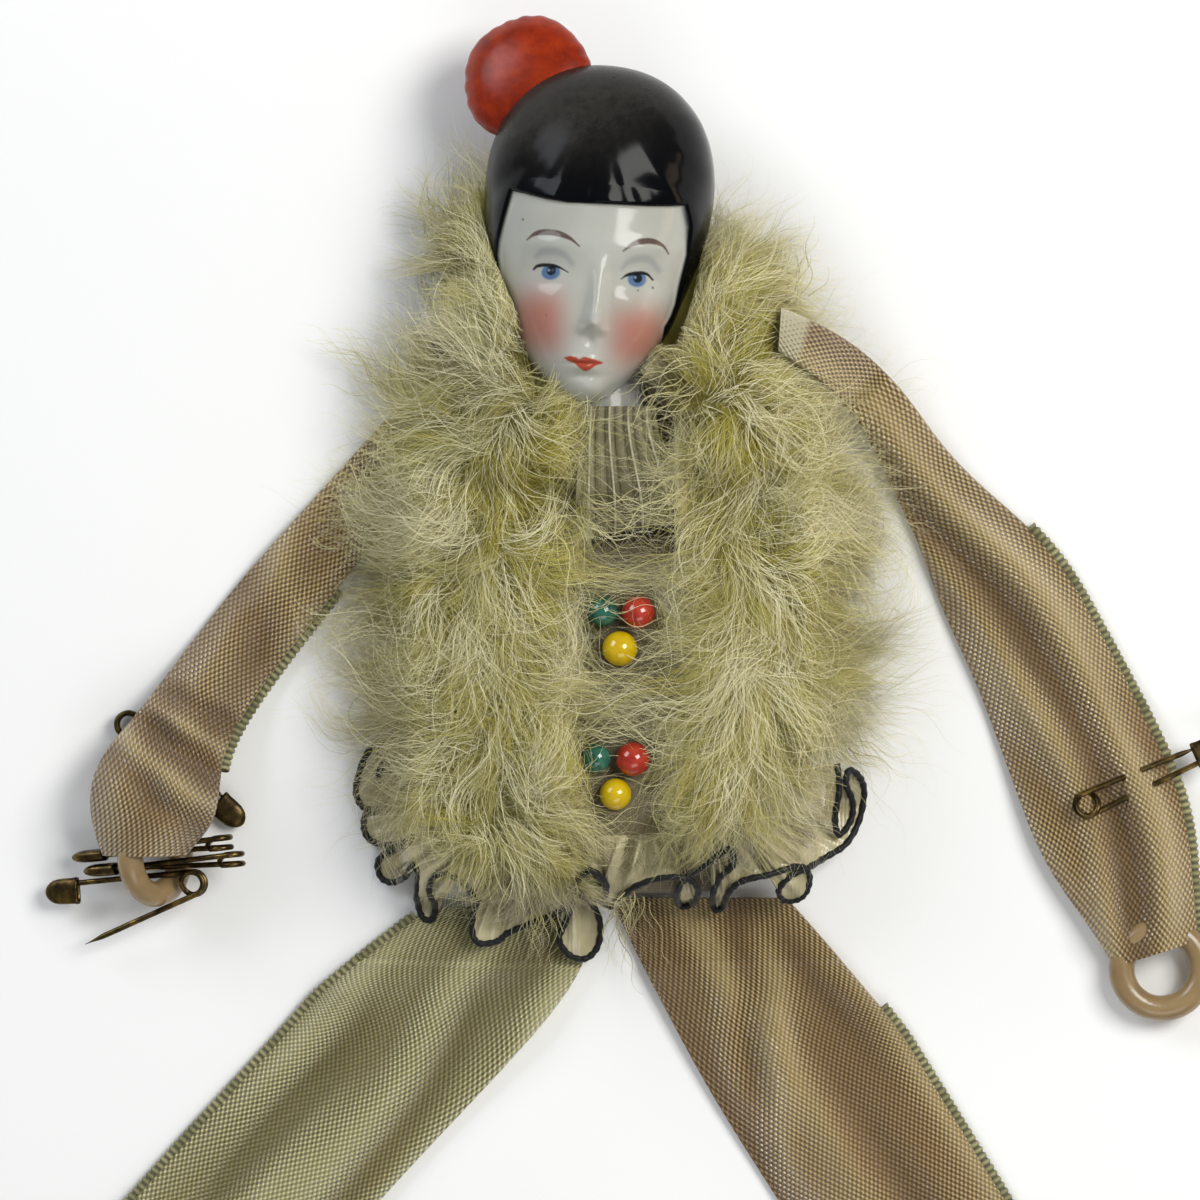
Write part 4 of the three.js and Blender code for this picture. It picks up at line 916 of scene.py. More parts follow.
def folded_ribbon(limb, steps=150, round_steps=56, root_steps=16):
    """Points, and the cloth's own measures across and along, from the seam to the cuff."""
    t = np.linspace(0, 1, steps)
    turn = np.radians(mix(limb["turn"][0], limb["turn"][1], ((t[1:] + t[:-1]) / 2) ** limb["late"]))
    step = limb["length"] / (steps - 1)
    middle = np.zeros((steps, 2))
    middle[0] = limb["hinge"]
    middle[1:] = middle[0] + np.cumsum(np.stack([np.sin(turn), -np.cos(turn)], -1) * step, 0)
    turn = np.radians(mix(limb["turn"][0], limb["turn"][1], t ** limb["late"]))
    swing = smooth(t * limb["length"], 0, SWING)
    row = mix(math.radians(limb["row"]), turn, swing)
    half = along(limb["half"], t) / np.cos(turn - row)
    middle[:, 0] += limb.get("bow", 0) * np.exp(-((t - 0.08) / 0.17) ** 2)
    crown = along(limb["crown"], t)
    seat = along(limb["seat"], t)
    puff = smooth(t, 0.5, 0.8)
    distance = t * limb["length"]

    share = np.linspace(0, 1, root_steps, endpoint=False)
    root = mix(np.array(limb["root"]), middle[0], share[:, None])
    root = root + np.array(limb.get("root_bow", (0, 0))) * np.sin(share * math.pi)[:, None]
    root_half = mix(limb["root_half"], half[0], share)
    root_row = np.radians(mix(limb["root_row"], limb["row"], share))
    root_length = np.linalg.norm(middle[0] - np.array(limb["root"]))
    middle = np.concatenate([root, middle])
    half = np.concatenate([root_half, half])
    row = np.concatenate([root_row, row])
    crown = np.concatenate([1.2 + limb["rise"] * (1 - share) ** 2, crown])
    seat = np.concatenate([np.full(root_steps, GAP), seat])
    puff = np.concatenate([np.zeros(root_steps), puff])
    swing = np.concatenate([np.zeros(root_steps), swing])
    distance = np.concatenate([(share - 1) * root_length, distance])
    seat = seat + limb.get("over", 0) * np.exp(-(np.maximum(distance + 14, 0) / 12) ** 2)

    span = 17
    ramp = np.concatenate([np.linspace(0.2, 1, span), np.linspace(1, 0.2, span)[1:]])
    eased = []
    for values in (middle[:, 0], middle[:, 1], half, row):
        before = 2 * values[0] - values[span - 1:0:-1]
        after = 2 * values[-1] - values[-2:-span - 1:-1]
        eased.append(np.convolve(np.concatenate([before, values, after]), ramp / ramp.sum(), "valid"))
    middle = np.stack(eased[:2], -1)
    half, row = eased[2:]

    around = np.linspace(0.02, 2 * math.pi - 0.02, round_steps)
    across = limb["edge"] * np.cos(around)
    lift = 0.5 + 0.5 * squared(np.sin(around), 0.5)
    U, W = across[None, :], lift[None, :]
    crown, seat, puff, swing = crown[:, None], seat[:, None], puff[:, None], swing[:, None]
    full = mix(1, np.sqrt(1 - 0.9 * U ** 2), swing)
    low = seat + crown * puff * 0.5 * (1 - full)
    high = seat + crown * (puff * 0.5 * (1 + full) + (1 - puff) * full)
    z = low + (high - low) * W
    x = middle[:, :1] + np.cos(row)[:, None] * half[:, None] * U
    y = middle[:, 1:] + np.sin(row)[:, None] * half[:, None] * U
    width = np.concatenate([[0], np.cumsum(np.abs(np.diff(across)))])
    cloth_across = width[None, :] * half[:, None]
    cloth_along = np.repeat(distance[:, None], round_steps, 1)
    return np.stack([x, y, z], -1), cloth_across, cloth_along, distance


# Folds of the upper layer. A wave is a height in millimetres, its radians per millimetre across
# and along, and a start. A crease is a height, a place, a slant and a half width.
WAVES = {
    "arm_left": [(0.5, 0.9, 0.1, 0)],
    "arm_right": [(0.6, 0.5, 0.22, 0)],
    "leg_left": [(1.5, 0.55, 0.02, 0.4), (0.5, 1.1, -0.08, 0), (0.8, 0.25, 0.12, 0)],
    "leg_right": [(1.3, 0.42, -0.035, 2.4), (0.4, 1.0, 0.06, 0)],
}
CREASES_ACROSS = {
    "arm_left": [(0.9, 17, 0.7, 3), (-0.9, 23, 0.7, 3), (1.8, 41, 0.35, 1.6), (-1.9, 37.6, 0.25, 1.6),
                 (1.6, 33.6, 0.1, 1.5), (-1.7, 30.6, -0.1, 1.5), (-1.2, 45.6, 0.5, 1.5)],
}
CREASES_ALONG = {
    "arm_right": [(2.3, 4.6, 0.015, 2), (-2.2, 8.6, 0.02, 1.6), (1.6, 12, 0.02, 1.5)],
    "leg_right": [(2.0, 8, -0.5, 1.8), (-1.9, 11.6, -0.5, 1.6), (1.5, 15, -0.3, 1.6)],
}
LEG_CREASE_FADE = 22


def crumple(name, across, along_it):
    """Folds in the upper layer, in millimetres, where each limb was handled or sewn."""
    folds = sum(height * np.sin(across * a + along_it * b + start) for height, a, b, start in WAVES[name])
    for height, place, slant, width in CREASES_ACROSS.get(name, []):
        folds = folds + height * np.exp(-((along_it - place + across * slant) / width) ** 2)
    fade = np.exp(-(along_it / LEG_CREASE_FADE) ** 2) if name == "leg_right" else 1
    for height, place, slant, width in CREASES_ALONG.get(name, []):
        folds = folds + fade * height * np.exp(-((across - place + along_it * slant) / width) ** 2)
    return folds


# %% Limbs
PICOT_PITCH = 0.8
for name, limb in LIMBS.items():
    points, cloth_across, cloth_along, distance = folded_ribbon(limb)
    width = cloth_across[:, -1:]
    top = np.sin(np.clip(cloth_across / (width / 2), 0, 1) * math.pi) ** 0.5 * smooth(cloth_along, -2, 8)
    top = top * smooth(limb["length"] - cloth_along, -1, 6)
    folds = crumple(name, cloth_across, cloth_along)
    points[..., 2] += np.maximum(folds * top, -1.4)
    rows, columns = cloth_across.shape
    sleeve = piece(f"{name}_ribbon", points, grid_faces(rows, columns), None, limb["cloth"],
                   {"cloth_across": cloth_across, "cloth_along": cloth_along, "cloth_fold": folds,
                    "cloth_raw": smooth(cloth_along, distance[0] + 3.6, distance[0] + 2.6) * (name == "arm_right")})
    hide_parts(name, f"{name}_root")

    edge = points[:, [0, -1]].mean(1)
    outward = edge - points[:, columns // 2]
    outward /= np.linalg.norm(outward, axis=1, keepdims=True)
    reach = walked(edge)
    start, end = [np.interp(at, distance, reach) for at in limb["picot"]]
    fine = np.arange(start, end, PICOT_PITCH / 12)
    line = resample(edge + outward * 0.3, reach, fine)
    loops = 0.5 + 0.5 * np.cos(fine / PICOT_PITCH * 2 * math.pi)
    selvedge = tube_piece(f"{name}_picot_edge", line, 0.44 + 0.24 * loops ** 0.6, None, picot, 12, 0.8,
                          {"picot_loop": np.repeat(loops, 12)})

    turn = math.radians(limb["row"])
    for obj in (sleeve, selvedge):
        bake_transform(obj)

# %% [markdown]
# ## The stuffed body
# The body is a small cushion: two cotton covers sewn round a pad of wadding. A pressure
# simulation is the quickest way to a believable cushion, because it finds by itself where the
# cloth stays tight and where it puckers. It runs at twenty times the real size, where the
# solver is steady, on a remeshed copy of the plain pad form, and is then scaled back.

# %% Pad form
PAD_HALF_WIDTH = 24
PAD_HALF_LENGTH = 23.5
PAD_MIDDLE = -5.5
PAD_EDGE = 2.6
PAD_CROWN = 8
COVER = 0.6


def pad_top(x, y):
    """Height of the padding over the flat back at a place on the body."""
    across = np.clip(np.abs(np.asarray(x, float)) / PAD_HALF_WIDTH, 0, 1)
    down = np.clip(np.abs(np.asarray(y, float) - PAD_MIDDLE) / PAD_HALF_LENGTH, 0, 1)
    return COVER + GAP + PAD_EDGE + PAD_CROWN * np.sqrt((1 - down ** 4) * (1 - across ** 3))


def cover_top(x, y):
    return pad_top(x, y) + GAP + COVER


# %% Cushion
RIM_STEPS = 96
turns = np.linspace(0, 2 * math.pi, RIM_STEPS, endpoint=False)
rim_x, rim_y = squared(np.cos(turns), 0.5), squared(np.sin(turns), 0.5)
layers = []
for share, level in ((0.02, 0), (0.5, 0), (0.95, 0), (1.0, 0.35), (1.0, 0.8), (0.985, 1), (0.9, 1), (0.75, 1),
                     (0.55, 1), (0.35, 1), (0.15, 1), (0.02, 1)):
    x = rim_x * PAD_HALF_WIDTH * share
    y = PAD_MIDDLE + rim_y * PAD_HALF_LENGTH * share
    top = cover_top(x, y) - 0.25
    layers.append(np.stack([x, y, 0.15 + (top - 0.15) * level], -1))
cover_cloth, tree, shader = finish("cream_cotton_sateen_painted_shade", {"Roughness": 0.7, "Sheen Weight": 0.3,
                                                            "Subsurface Weight": 0.1, "Subsurface Scale": 0.002})
# The cover is coloured far darker than cream cotton: painted shade in the gap between the down bands, where it shows.
# The neck sleeve shares this colour.
place, _, _ = mottled(tree, shader, 60.0, [(0.35, "#554c34"), (0.65, "#72684a")], Detail=4.0)
thread, weft = [node(tree, "ShaderNodeTexWave", {"bands_direction": way}, {"Vector": place, "Scale": 900.0})
                for way in ("X", "Y")]
plain = node(tree, "ShaderNodeMath", {"operation": "MAXIMUM"}, {0: thread.outputs["Fac"], 1: weft.outputs["Fac"]})
weave = node(tree, "ShaderNodeBump", None, {"Height": plain.outputs[0], "Strength": 0.5, "Distance": 0.0001})
tree.links.new(weave.outputs[0], shader.inputs["Normal"])

cushion = piece("stuffed_body", np.concatenate(layers), grid_faces(len(layers), RIM_STEPS, closed=True), None,
                cover_cloth)

# %% [markdown]
# The copy is remeshed into even squares, blown up for twenty frames with gravity off, and
# pressed flat below, where the doll lies. No point may move more than a millimetre.

# %% Cushion simulation
SCALE = 20
FRAMES = 20
bpy.context.view_layer.objects.active = cushion
cushion.select_set(True)
bm = bmesh.new()
bm.from_mesh(cushion.data)
bmesh.ops.holes_fill(bm, edges=bm.edges, sides=0)
bm.to_mesh(cushion.data)
bm.free()
cushion.data.transform(Matrix.Scale(SCALE, 4))
remesh = cushion.modifiers.new("even_squares", "REMESH")
remesh.mode = "VOXEL"
remesh.voxel_size = 0.9 * MM * SCALE
bpy.ops.object.modifier_apply(modifier=remesh.name)
before = np.array([v.co for v in cushion.data.vertices])
cloth = cushion.modifiers.new("pressure", "CLOTH")
cloth.settings.quality = 6
cloth.settings.mass = 0.3
cloth.settings.tension_stiffness = 12
cloth.settings.compression_stiffness = 12
cloth.settings.bending_stiffness = 0.6
cloth.settings.use_pressure = True
cloth.settings.uniform_pressure_force = 4
cloth.settings.effector_weights.gravity = 0
for count in range(1, FRAMES + 1):
    bpy.context.scene.frame_set(count)
bpy.ops.object.modifier_apply(modifier=cloth.name)
bpy.context.scene.frame_set(1)
after = np.array([v.co for v in cushion.data.vertices])
moved = after - before
size = np.linalg.norm(moved, axis=1, keepdims=True)
limit = 1.0 * MM * SCALE
after = before + moved * np.minimum(1, limit / np.maximum(size, 1e-9))
after[:, 2] = np.maximum(after[:, 2], 0.05 * MM * SCALE)
cushion.data.vertices.foreach_set("co", after.ravel())
cushion.data.transform(Matrix.Scale(1 / SCALE, 4))
finer = cushion.modifiers.new("finer", "SUBSURF")
finer.levels = 1
bpy.ops.object.modifier_apply(modifier=finer.name)
cushion.data.shade_smooth()
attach(cushion, "torso")
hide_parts("cover_front", "cover_back", "stuffing_pad")
print("stuffed body", len(cushion.data.vertices), "points; greatest move",
      round(float(size.max()) / MM / SCALE, 2), "mm")

# %% [markdown]
# ## Down trimming
# The front of the doll is hidden under lengths of marabou: a broad one down each side of the
# chest, standing up as a collar, and one behind the neck. The down has short dense fluff, longer
# wavy locks over it and a few stray wisps. Hair curves would not be kept as solid pieces, so
# each barb is a thin strip of faces along a smooth seeded flow. The strips of one tuft are
# drawn together toward their tips, which makes the clumps that real down shows.

# %% Down material
down, tree, shader = finish("olive_dyed_marabou", {"Roughness": 0.5, "Sheen Weight": 0.3, "Sheen Roughness": 0.35,
                                                  "Specular IOR Level": 0.3})
tip = node(tree, "ShaderNodeAttribute", {"attribute_name": "barb_tip"})
tone = node(tree, "ShaderNodeAttribute", {"attribute_name": "barb_tone"})
outside = node(tree, "ShaderNodeAttribute", {"attribute_name": "barb_edge"})
core = node(tree, "ShaderNodeValToRGB", {"stops": [(0.0, "#776e26"), (0.4, "#b5ab48"), (1.0, "#ddd37e")]},
            {"Fac": tip.outputs["Fac"]})
outer = node(tree, "ShaderNodeValToRGB", {"stops": [(0.0, "#7b7350"), (0.5, "#ada680"), (1.0, "#e2dcbe")]},
             {"Fac": tip.outputs["Fac"]})
dyed = node(tree, "ShaderNodeMix", {"data_type": "RGBA"}, {0: outside.outputs["Fac"], 6: core.outputs["Color"],
                                                           7: outer.outputs["Color"]})
# High tone turns a barb pale: partly the pale stray wisps, partly painted light on the highest barbs. Low tone turns
# it dark olive: painted shade on barbs deep in the down.
pale = node(tree, "ShaderNodeMapRange", None, {"Value": tone.outputs["Fac"], "From Min": 0.7, "From Max": 1.0,
                                               "To Min": 0.0, "To Max": 0.85})
pale_wisps_and_lit_tops = node(tree, "ShaderNodeMix", {"data_type": "RGBA"}, {0: pale.outputs[0], 6: dyed.outputs[2],
                                                            7: linear("#ece6bf")})
dark = node(tree, "ShaderNodeMapRange", None, {"Value": tone.outputs["Fac"], "From Min": 0.0, "From Max": 0.3,
                                               "To Min": 0.7, "To Max": 0.0})
shade = node(tree, "ShaderNodeMix", {"data_type": "RGBA"}, {0: dark.outputs[0], 6: pale_wisps_and_lit_tops.outputs[2],
                                                            7: linear("#5d5733")})
tree.links.new(shade.outputs[2], shader.inputs["Base Color"])

# %% [markdown]
# The bands are outlines on the chest with a line down the middle, where the barbs part. Each
# tuft leans outward from that line and down the body, and at the collar outward and up.

# %% Bands
FUR_TOP = 5.2
FRILL_MIDDLE = 2.6
OVER_FRILL = 17.4
OVER_JAW = 16.8
UNDER_HAIR = 9.5
BANDS = {
    "left": dict(solid="fur_left", seed=5, outline=[
        (-9, 51), (-15.5, 51.5), (-17.6, 49.5), (-18.8, 44), (-19.4, 36), (-20.6, 29), (-22.4, 21), (-24, 12),
        (-24.6, 2), (-24, -8), (-22.6, -16), (-20, -21.5), (-15.5, -25), (-9, -27), (-3, -27.5), (-2.8, -24),
        (-3.6, -18), (-4.2, -10), (-4.4, 0), (-4.6, 10), (-4.8, 18), (-4.4, 25), (-5, 31), (-7, 38), (-8, 45)],
        line=[(-14.5, 50), (-14.5, 40), (-13.5, 30), (-14.5, 14), (-14.5, 0), (-13.5, -12), (-11, -22)]),
    "right": dict(solid="fur_right", seed=9, outline=[
        (8, 47), (14, 47), (16, 45.5), (17.6, 41), (19.4, 35), (22, 28), (24.6, 18), (25, 6), (24.4, -4),
        (22.6, -11), (19.2, -15), (14.5, -19), (9.4, -22), (8, -20), (8.4, -12), (8.8, -4), (8.8, 6), (8.6, 13),
        (8.2, 20), (7.4, 26), (5, 31), (6, 38), (7, 44)],
        line=[(12.5, 45), (13, 36), (14.5, 25), (16.5, 10), (16.5, -2), (15.5, -11), (13, -18)]),
    "middle": dict(solid=None, seed=12, outline=[(-6, 10), (-5, -26), (9, -24), (10, 10)],
                   line=[(2, 11), (2, -10), (2, -24)]),
}
BEADS = []
for level in ("upper", "lower"):
    for name in GLASS:
        low, high = [np.array(corner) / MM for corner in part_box(f"bead_{level}_{name}")]
        BEADS.append((*((low + high) / 2)[:2], (high[0] - low[0]) / 2, 0.22 if name == "green" else 0.05))


def in_outline(points, outline):
    """True for each point that lies inside a closed outline."""
    x, y = points[:, 0], points[:, 1]
    hit = np.zeros(len(points), bool)
    for (x1, y1), (x2, y2) in zip(outline, np.roll(outline, -1, 0)):
        crosses = (y1 > y) != (y2 > y)
        hit ^= crosses & (x < x1 + (y - y1) / (y2 - y1 + 1e-12) * (x2 - x1))
    return hit


def to_line(points, line):
    """Distance of each point to a line, the nearest place on it and the line's direction there."""
    best = np.full(len(points), 1e9)
    near = np.zeros((len(points), 2))
    direction = np.zeros((len(points), 2))
    for a, b in zip(np.array(line[:-1], float), np.array(line[1:], float)):
        span = b - a
        t = np.clip((points - a) @ span / span.dot(span), 0, 1)
        spot = a + t[:, None] * span
        d = np.linalg.norm(points - spot, axis=1)
        closer = d < best
        best[closer] = d[closer]
        near[closer] = spot[closer]
        direction[closer] = span / np.linalg.norm(span)
    return best, near, direction


def wave_field(points, seed, wavelength):
    """A smooth seeded field between about -1 and 1, made of a few slanted waves."""
    dice = np.random.default_rng(seed)
    total = np.zeros(len(points))
    for _ in range(7):
        a = dice.uniform(0, 2 * math.pi)
        k = 2 * math.pi / (wavelength * dice.uniform(0.7, 1.6))
        total += np.sin(points @ np.array([math.cos(a), math.sin(a)]) * k + dice.uniform(0, 2 * math.pi))
    return total / 3


def down_ground(x, y):
    """Height of what the down lies on: the cushion, its sides or the collar by the head."""
    on_body = (np.abs(x) < PAD_HALF_WIDTH) & (np.abs(y - PAD_MIDDLE) < PAD_HALF_LENGTH)
    body_height = np.where(on_body, cover_top(x, y), 0)
    slope = smooth(np.abs(x), PAD_HALF_WIDTH + 4, PAD_HALF_WIDTH - 2) * smooth(y, -36, -27) * smooth(y, 30, 16)
    collar = 13.5 * smooth(y, 11, 22) * smooth(y, 66, 36) * smooth(np.abs(x), 31, 10)
    return np.maximum(np.maximum(body_height, 9.5 * slope), collar)


def head_cover(x, y):
    """How far a place lies inside the outline of the head, seen from the front, in millimetres."""
    t = (y - CHIN_Y) / HEAD_HEIGHT
    width, _, _, _ = head_shape(np.clip(t, 0.001, 0.999))
    within = width - np.abs(x - HEAD_X + 0.1 * (y - 47))
    return np.where((t > 0) & (t < 1), within, -1.0)


def over_frill(x, y, z):
    """Heights that pass above the neck frill wherever a barb crosses it."""
    near = smooth(7.8 - np.abs(x - FRILL_MIDDLE), 0, 3) * smooth(y, 10.5, 12.5) * smooth(y, 30, 27)
    return np.maximum(z, mix(z, OVER_FRILL, near))


def strips(name, line, half, marks):
    """Thin strips of faces along many lines at once; line is count x steps x 3, in millimetres."""
    count, steps, _ = line.shape
    ahead = np.gradient(line, axis=1)
    ahead /= np.maximum(np.linalg.norm(ahead, axis=2, keepdims=True), 1e-6)
    dice = np.random.default_rng(count)
    roll = dice.uniform(-0.9, 0.9, count)[:, None, None]
    flat = np.stack([-ahead[..., 1], ahead[..., 0], np.zeros((count, steps))], -1)
    flat /= np.maximum(np.linalg.norm(flat, axis=2, keepdims=True), 1e-6)
    side_way = flat * np.cos(roll) + np.cross(ahead, flat) * np.sin(roll)
    points = np.stack([line + side_way * half[..., None], line - side_way * half[..., None]], 2)
    start = np.arange(count)[:, None] * steps * 2 + np.arange(steps - 1)[None] * 2
    faces = np.stack([start, start + 1, start + 3, start + 2], -1).reshape(-1, 4)
    marks = {key: np.broadcast_to(values, (count, steps)).repeat(2, 1) for key, values in marks.items()}
    obj = piece(name, points, faces, "torso", down, marks)
    return obj


# %% [markdown]
# A layer of barbs starts with its tufts. Each has a place on the band, a direction that follows
# the flow, a curl, and a length, which is trimmed where the band narrows below.

# %% Tufts
MOST_TURN = 2.5


def lay_tufts(dice, band, count, reach_mm, lift):
    """Place, flow, curl, length, lift, tone and phase of each tuft."""
    outline = band["outline"]
    tufts = dice.uniform(np.min(outline, 0), np.max(outline, 0), (count, 2))
    tufts = tufts[in_outline(tufts, outline)]
    away_from, near, direction = to_line(tufts, band["line"])
    sideways = (tufts - near) / np.maximum(away_from, 0.5)[:, None]
    reach = smooth(away_from, 0, 7)[:, None]
    flow = direction * (0.9 - 0.6 * reach) + sideways * 1.2 * reach
    collar = smooth(tufts[:, 1], 22, 34)
    flow[:, 1] = mix(flow[:, 1], 0.35 + np.abs(flow[:, 1]) * 0.4, collar)
    flow[:, 0] = mix(flow[:, 0], np.sign(tufts[:, 0]) * (0.2 + 0.7 * np.abs(flow[:, 0])), collar)
    bend = 1.0 * wave_field(tufts, 21, 16) + dice.normal(0, 0.5, len(tufts))
    c, s = np.cos(bend), np.sin(bend)
    flow = np.stack([flow[:, 0] * c - flow[:, 1] * s, flow[:, 0] * s + flow[:, 1] * c], -1)
    curl = 0.08 * wave_field(tufts, 33, 9) + dice.normal(0, 0.09, len(tufts))
    most = MOST_TURN / reach_mm[1]
    curl = most * np.tanh(curl / most)
    trimmed = mix(np.where(tufts[:, 0] > 3, 0.4, 0.5), 1, smooth(tufts[:, 1], -24, -6))
    size = dice.uniform(*reach_mm, len(tufts)) * mix(1, 0.75, collar) * trimmed
    tuft_lift = dice.uniform(*lift, len(tufts))
    tone = dice.uniform(0, 1, len(tufts))
    return tufts, flow, curl, size, tuft_lift, tone, dice.uniform(0, 2 * math.pi, len(tufts))


def let_through(dice, x, y, band):
    """False for most barbs that would hide the frill, the gap down the front or a bead."""
    count = len(x)
    on_frill = (np.abs(x - FRILL_MIDDLE) < 4.6) & (y > 11) & (y < 29)
    keep = ~on_frill.any(1) | (dice.random(count) < 0.07)
    if band["solid"]:
        over_gap = (np.abs(x[:, -1] - 1.4) < 3.4) & (y[:, -1] < 11) & (y[:, -1] > -22)
        keep &= ~over_gap | (dice.random(count) < 0.28)
    for bead_x, bead_y, radius, share_over in BEADS:
        over = (np.hypot(x - bead_x, y - bead_y) < radius + 0.1).any(1)
        keep &= ~over | (dice.random(count) < share_over)
    return keep


# %% [markdown]
# Then the barbs are grown. Roots are scattered, each belongs to the nearest tuft, and its line
# is walked outward in small turning steps with a slight wave.

# %% Growing
WAVE_TURNS = 0.52


def grow(name, band, count, steps, tuft_count, reach_mm, gather, lift, thickness, depth_mm, wave,
         stray, bright, seed):
    """Grows count barbs in tufts. Ranges are in millimetres; gather is how far the tips of a tuft
    draw together, wave and stray are angles, and bright is added to the tone."""
    dice = np.random.default_rng(seed)
    outline = band["outline"]
    roots = dice.uniform(np.min(outline, 0), np.max(outline, 0), (count * 3, 2))
    roots = roots[in_outline(roots, outline)][:count]
    tufts, flow, curl, size, tuft_lift, tuft_tone, tuft_phase = lay_tufts(dice, band, tuft_count, reach_mm, lift)
    owner = np.concatenate([np.argmin(((some[:, None] - tufts[None]) ** 2).sum(-1), 1)
                            for some in np.array_split(roots, 12)])
    count = len(roots)
    aim = np.arctan2(flow[owner, 1], flow[owner, 0]) + dice.normal(0, stray, count)
    turning = curl[owner] + dice.normal(0, 0.12 * stray, count)
    length = size[owner] * dice.uniform(0.6, 1.2, count)
    share = np.linspace(0, 1, steps)
    swing = (wave * dice.uniform(0.7, 1, count))[:, None]
    angle = aim[:, None] + (turning * length)[:, None] * share
    phase = tuft_phase[owner] + dice.normal(0, 0.2 + 1.5 * stray, count)
    angle = angle + swing * np.sin(share * length[:, None] * WAVE_TURNS + phase[:, None])
    walk = np.stack([np.cos(angle), np.sin(angle)], -1) * (length / (steps - 1))[:, None, None]
    walk[:, 0] = 0
    line = roots[:, None] + np.cumsum(walk, 1)
    drawn = dice.uniform(*gather, count)
    line = line - (roots - tufts[owner])[:, None] * (drawn[:, None] * share ** 1.2)[..., None]
    x, y = line[..., 0], line[..., 1]
    depth, _, _ = to_line(roots, outline + outline[:1])
    lump = wave_field(roots, 57, 11)
    layer = dice.uniform(*depth_mm, count) * smooth(depth, -1, 5) + 1.6 * lump
    up = tuft_lift[owner] * dice.uniform(0.4, 1.4, count)
    z = down_ground(x, y) + 0.15 + layer[:, None] * (1 - 0.4 * share ** 2) + up[:, None] * np.sin(share * math.pi)
    cover = head_cover(x, y)
    beside_jaw = (y < 34.5) & (cover < 3)
    z = np.where(cover > 0.3, np.where(beside_jaw, np.maximum(z, OVER_JAW), np.minimum(z, UNDER_HAIR)), z)
    z = over_frill(x, y, z)
    keep = let_through(dice, x, y, band)
    line = np.concatenate([line, np.maximum(z, 0.3)[..., None]], -1)[keep]
    half = dice.uniform(*thickness, count)[keep, None] * (1 - 0.85 * share ** 2)
    edge = np.clip(1 - smooth(depth, 0.5, 5.5) + 0.35 * wave_field(roots, 3, 14), 0, 1)[keep, None]
    if band["solid"] is None:
        edge = np.full_like(edge, 0.75)
    # The tone rises with a barb's height in the down, so low barbs are painted darker and high ones paler: painted
    # shade and light. The tuft's share and the small random share are the down's own tone.
    tone = bright + 0.35 * tuft_tone[owner] + 0.45 * layer / FUR_TOP + dice.uniform(-0.06, 0.1, count)
    return strips(name, line, half, {"barb_tip": share[None], "barb_tone": np.clip(tone, 0, 1)[keep, None],
                                     "barb_edge": edge})


for side in ("left", "right"):
    band = BANDS[side]
    fluff = grow(f"down_{side}_fluff", band, 39000, 6, 900, (3, 7), (0.3, 0.8), (0.3, 1.2), (0.014, 0.024),
                 (0.2, FUR_TOP - 0.8), 0.3, 0.14, -0.06, band["seed"])
    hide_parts(band["solid"])
    for k, (tufts, reach, tall) in enumerate([(380, (8, 16), 0.9), (700, (5, 11), 0.5)]):
        grow(f"down_{side}_locks_{k + 1}", band, 16500, 12, tufts, reach, (0.4, 0.92), (0.5, 2.4), (0.012, 0.024),
             (1.6, FUR_TOP + tall), 0.4, 0.13, 0.06, band["seed"] + 1 + 10 * k)
    grow(f"down_{side}_drift", band, 4800, 14, 420, (10, 20), (0.4, 0.9), (0.6, 2.2), (0.016, 0.036),
         (3.6, FUR_TOP + 1.4), 0.55, 0.22, 0.38, band["seed"] + 2)
# The strip in the gap down the front gets a low tone and so is painted dark: painted shade between the two bands.
grow("down_middle", BANDS["middle"], 5000, 6, 300, (3, 7), (0.1, 0.5), (0.1, 0.5), (0.016, 0.028), (0.1, 0.8),
     0.5, 0.4, -0.8, 12)

# %% [markdown]
# Under the barbs lies a low soft mound, the matted down near the cord, so that no gap between
# two tufts lets the cushion show. It takes the dark colour of the barbs' roots: painted shade
# deep in the down.

# %% Undercoat
for side in ("left", "right"):
    band = BANDS[side]
    closed = np.array(band["outline"] + band["outline"][:1], float)
    walk = walked(closed)
    rim = resample(closed, walk, np.linspace(0, walk[-1], 96, endpoint=False))
    middle = to_line(rim, band["line"])[1]
    rows = []
    for share in np.linspace(0.004, 1, 14):
        at = middle + (rim - middle) * share
        rise = 0.5 + (FUR_TOP - 2.6) * (1 - share ** 2.5)
        rows.append(np.concatenate([at, np.maximum(down_ground(at[:, 0], at[:, 1]) + rise, 0.3)[:, None]], -1))
    under = np.concatenate(rows)
    under[:, 2] += 0.5 * wave_field(under[:, :2], 41, 5)
    level = np.ones(len(under))
    # Coloured as the roots of the barbs: painted shade deep in the down.
    undercoat = piece(f"down_{side}_undercoat", under, grid_faces(14, 96, closed=True), "torso", down,
                      {"barb_tip": level * 0.1, "barb_tone": level * 0.4, "barb_edge": level * 0.2})

# %% [markdown]
# The stray wisps are what the eye notices first on old down: a tuft that curls away at the
# left shoulder, a loop at the left side, and single barbs that cross the beads and the chin.

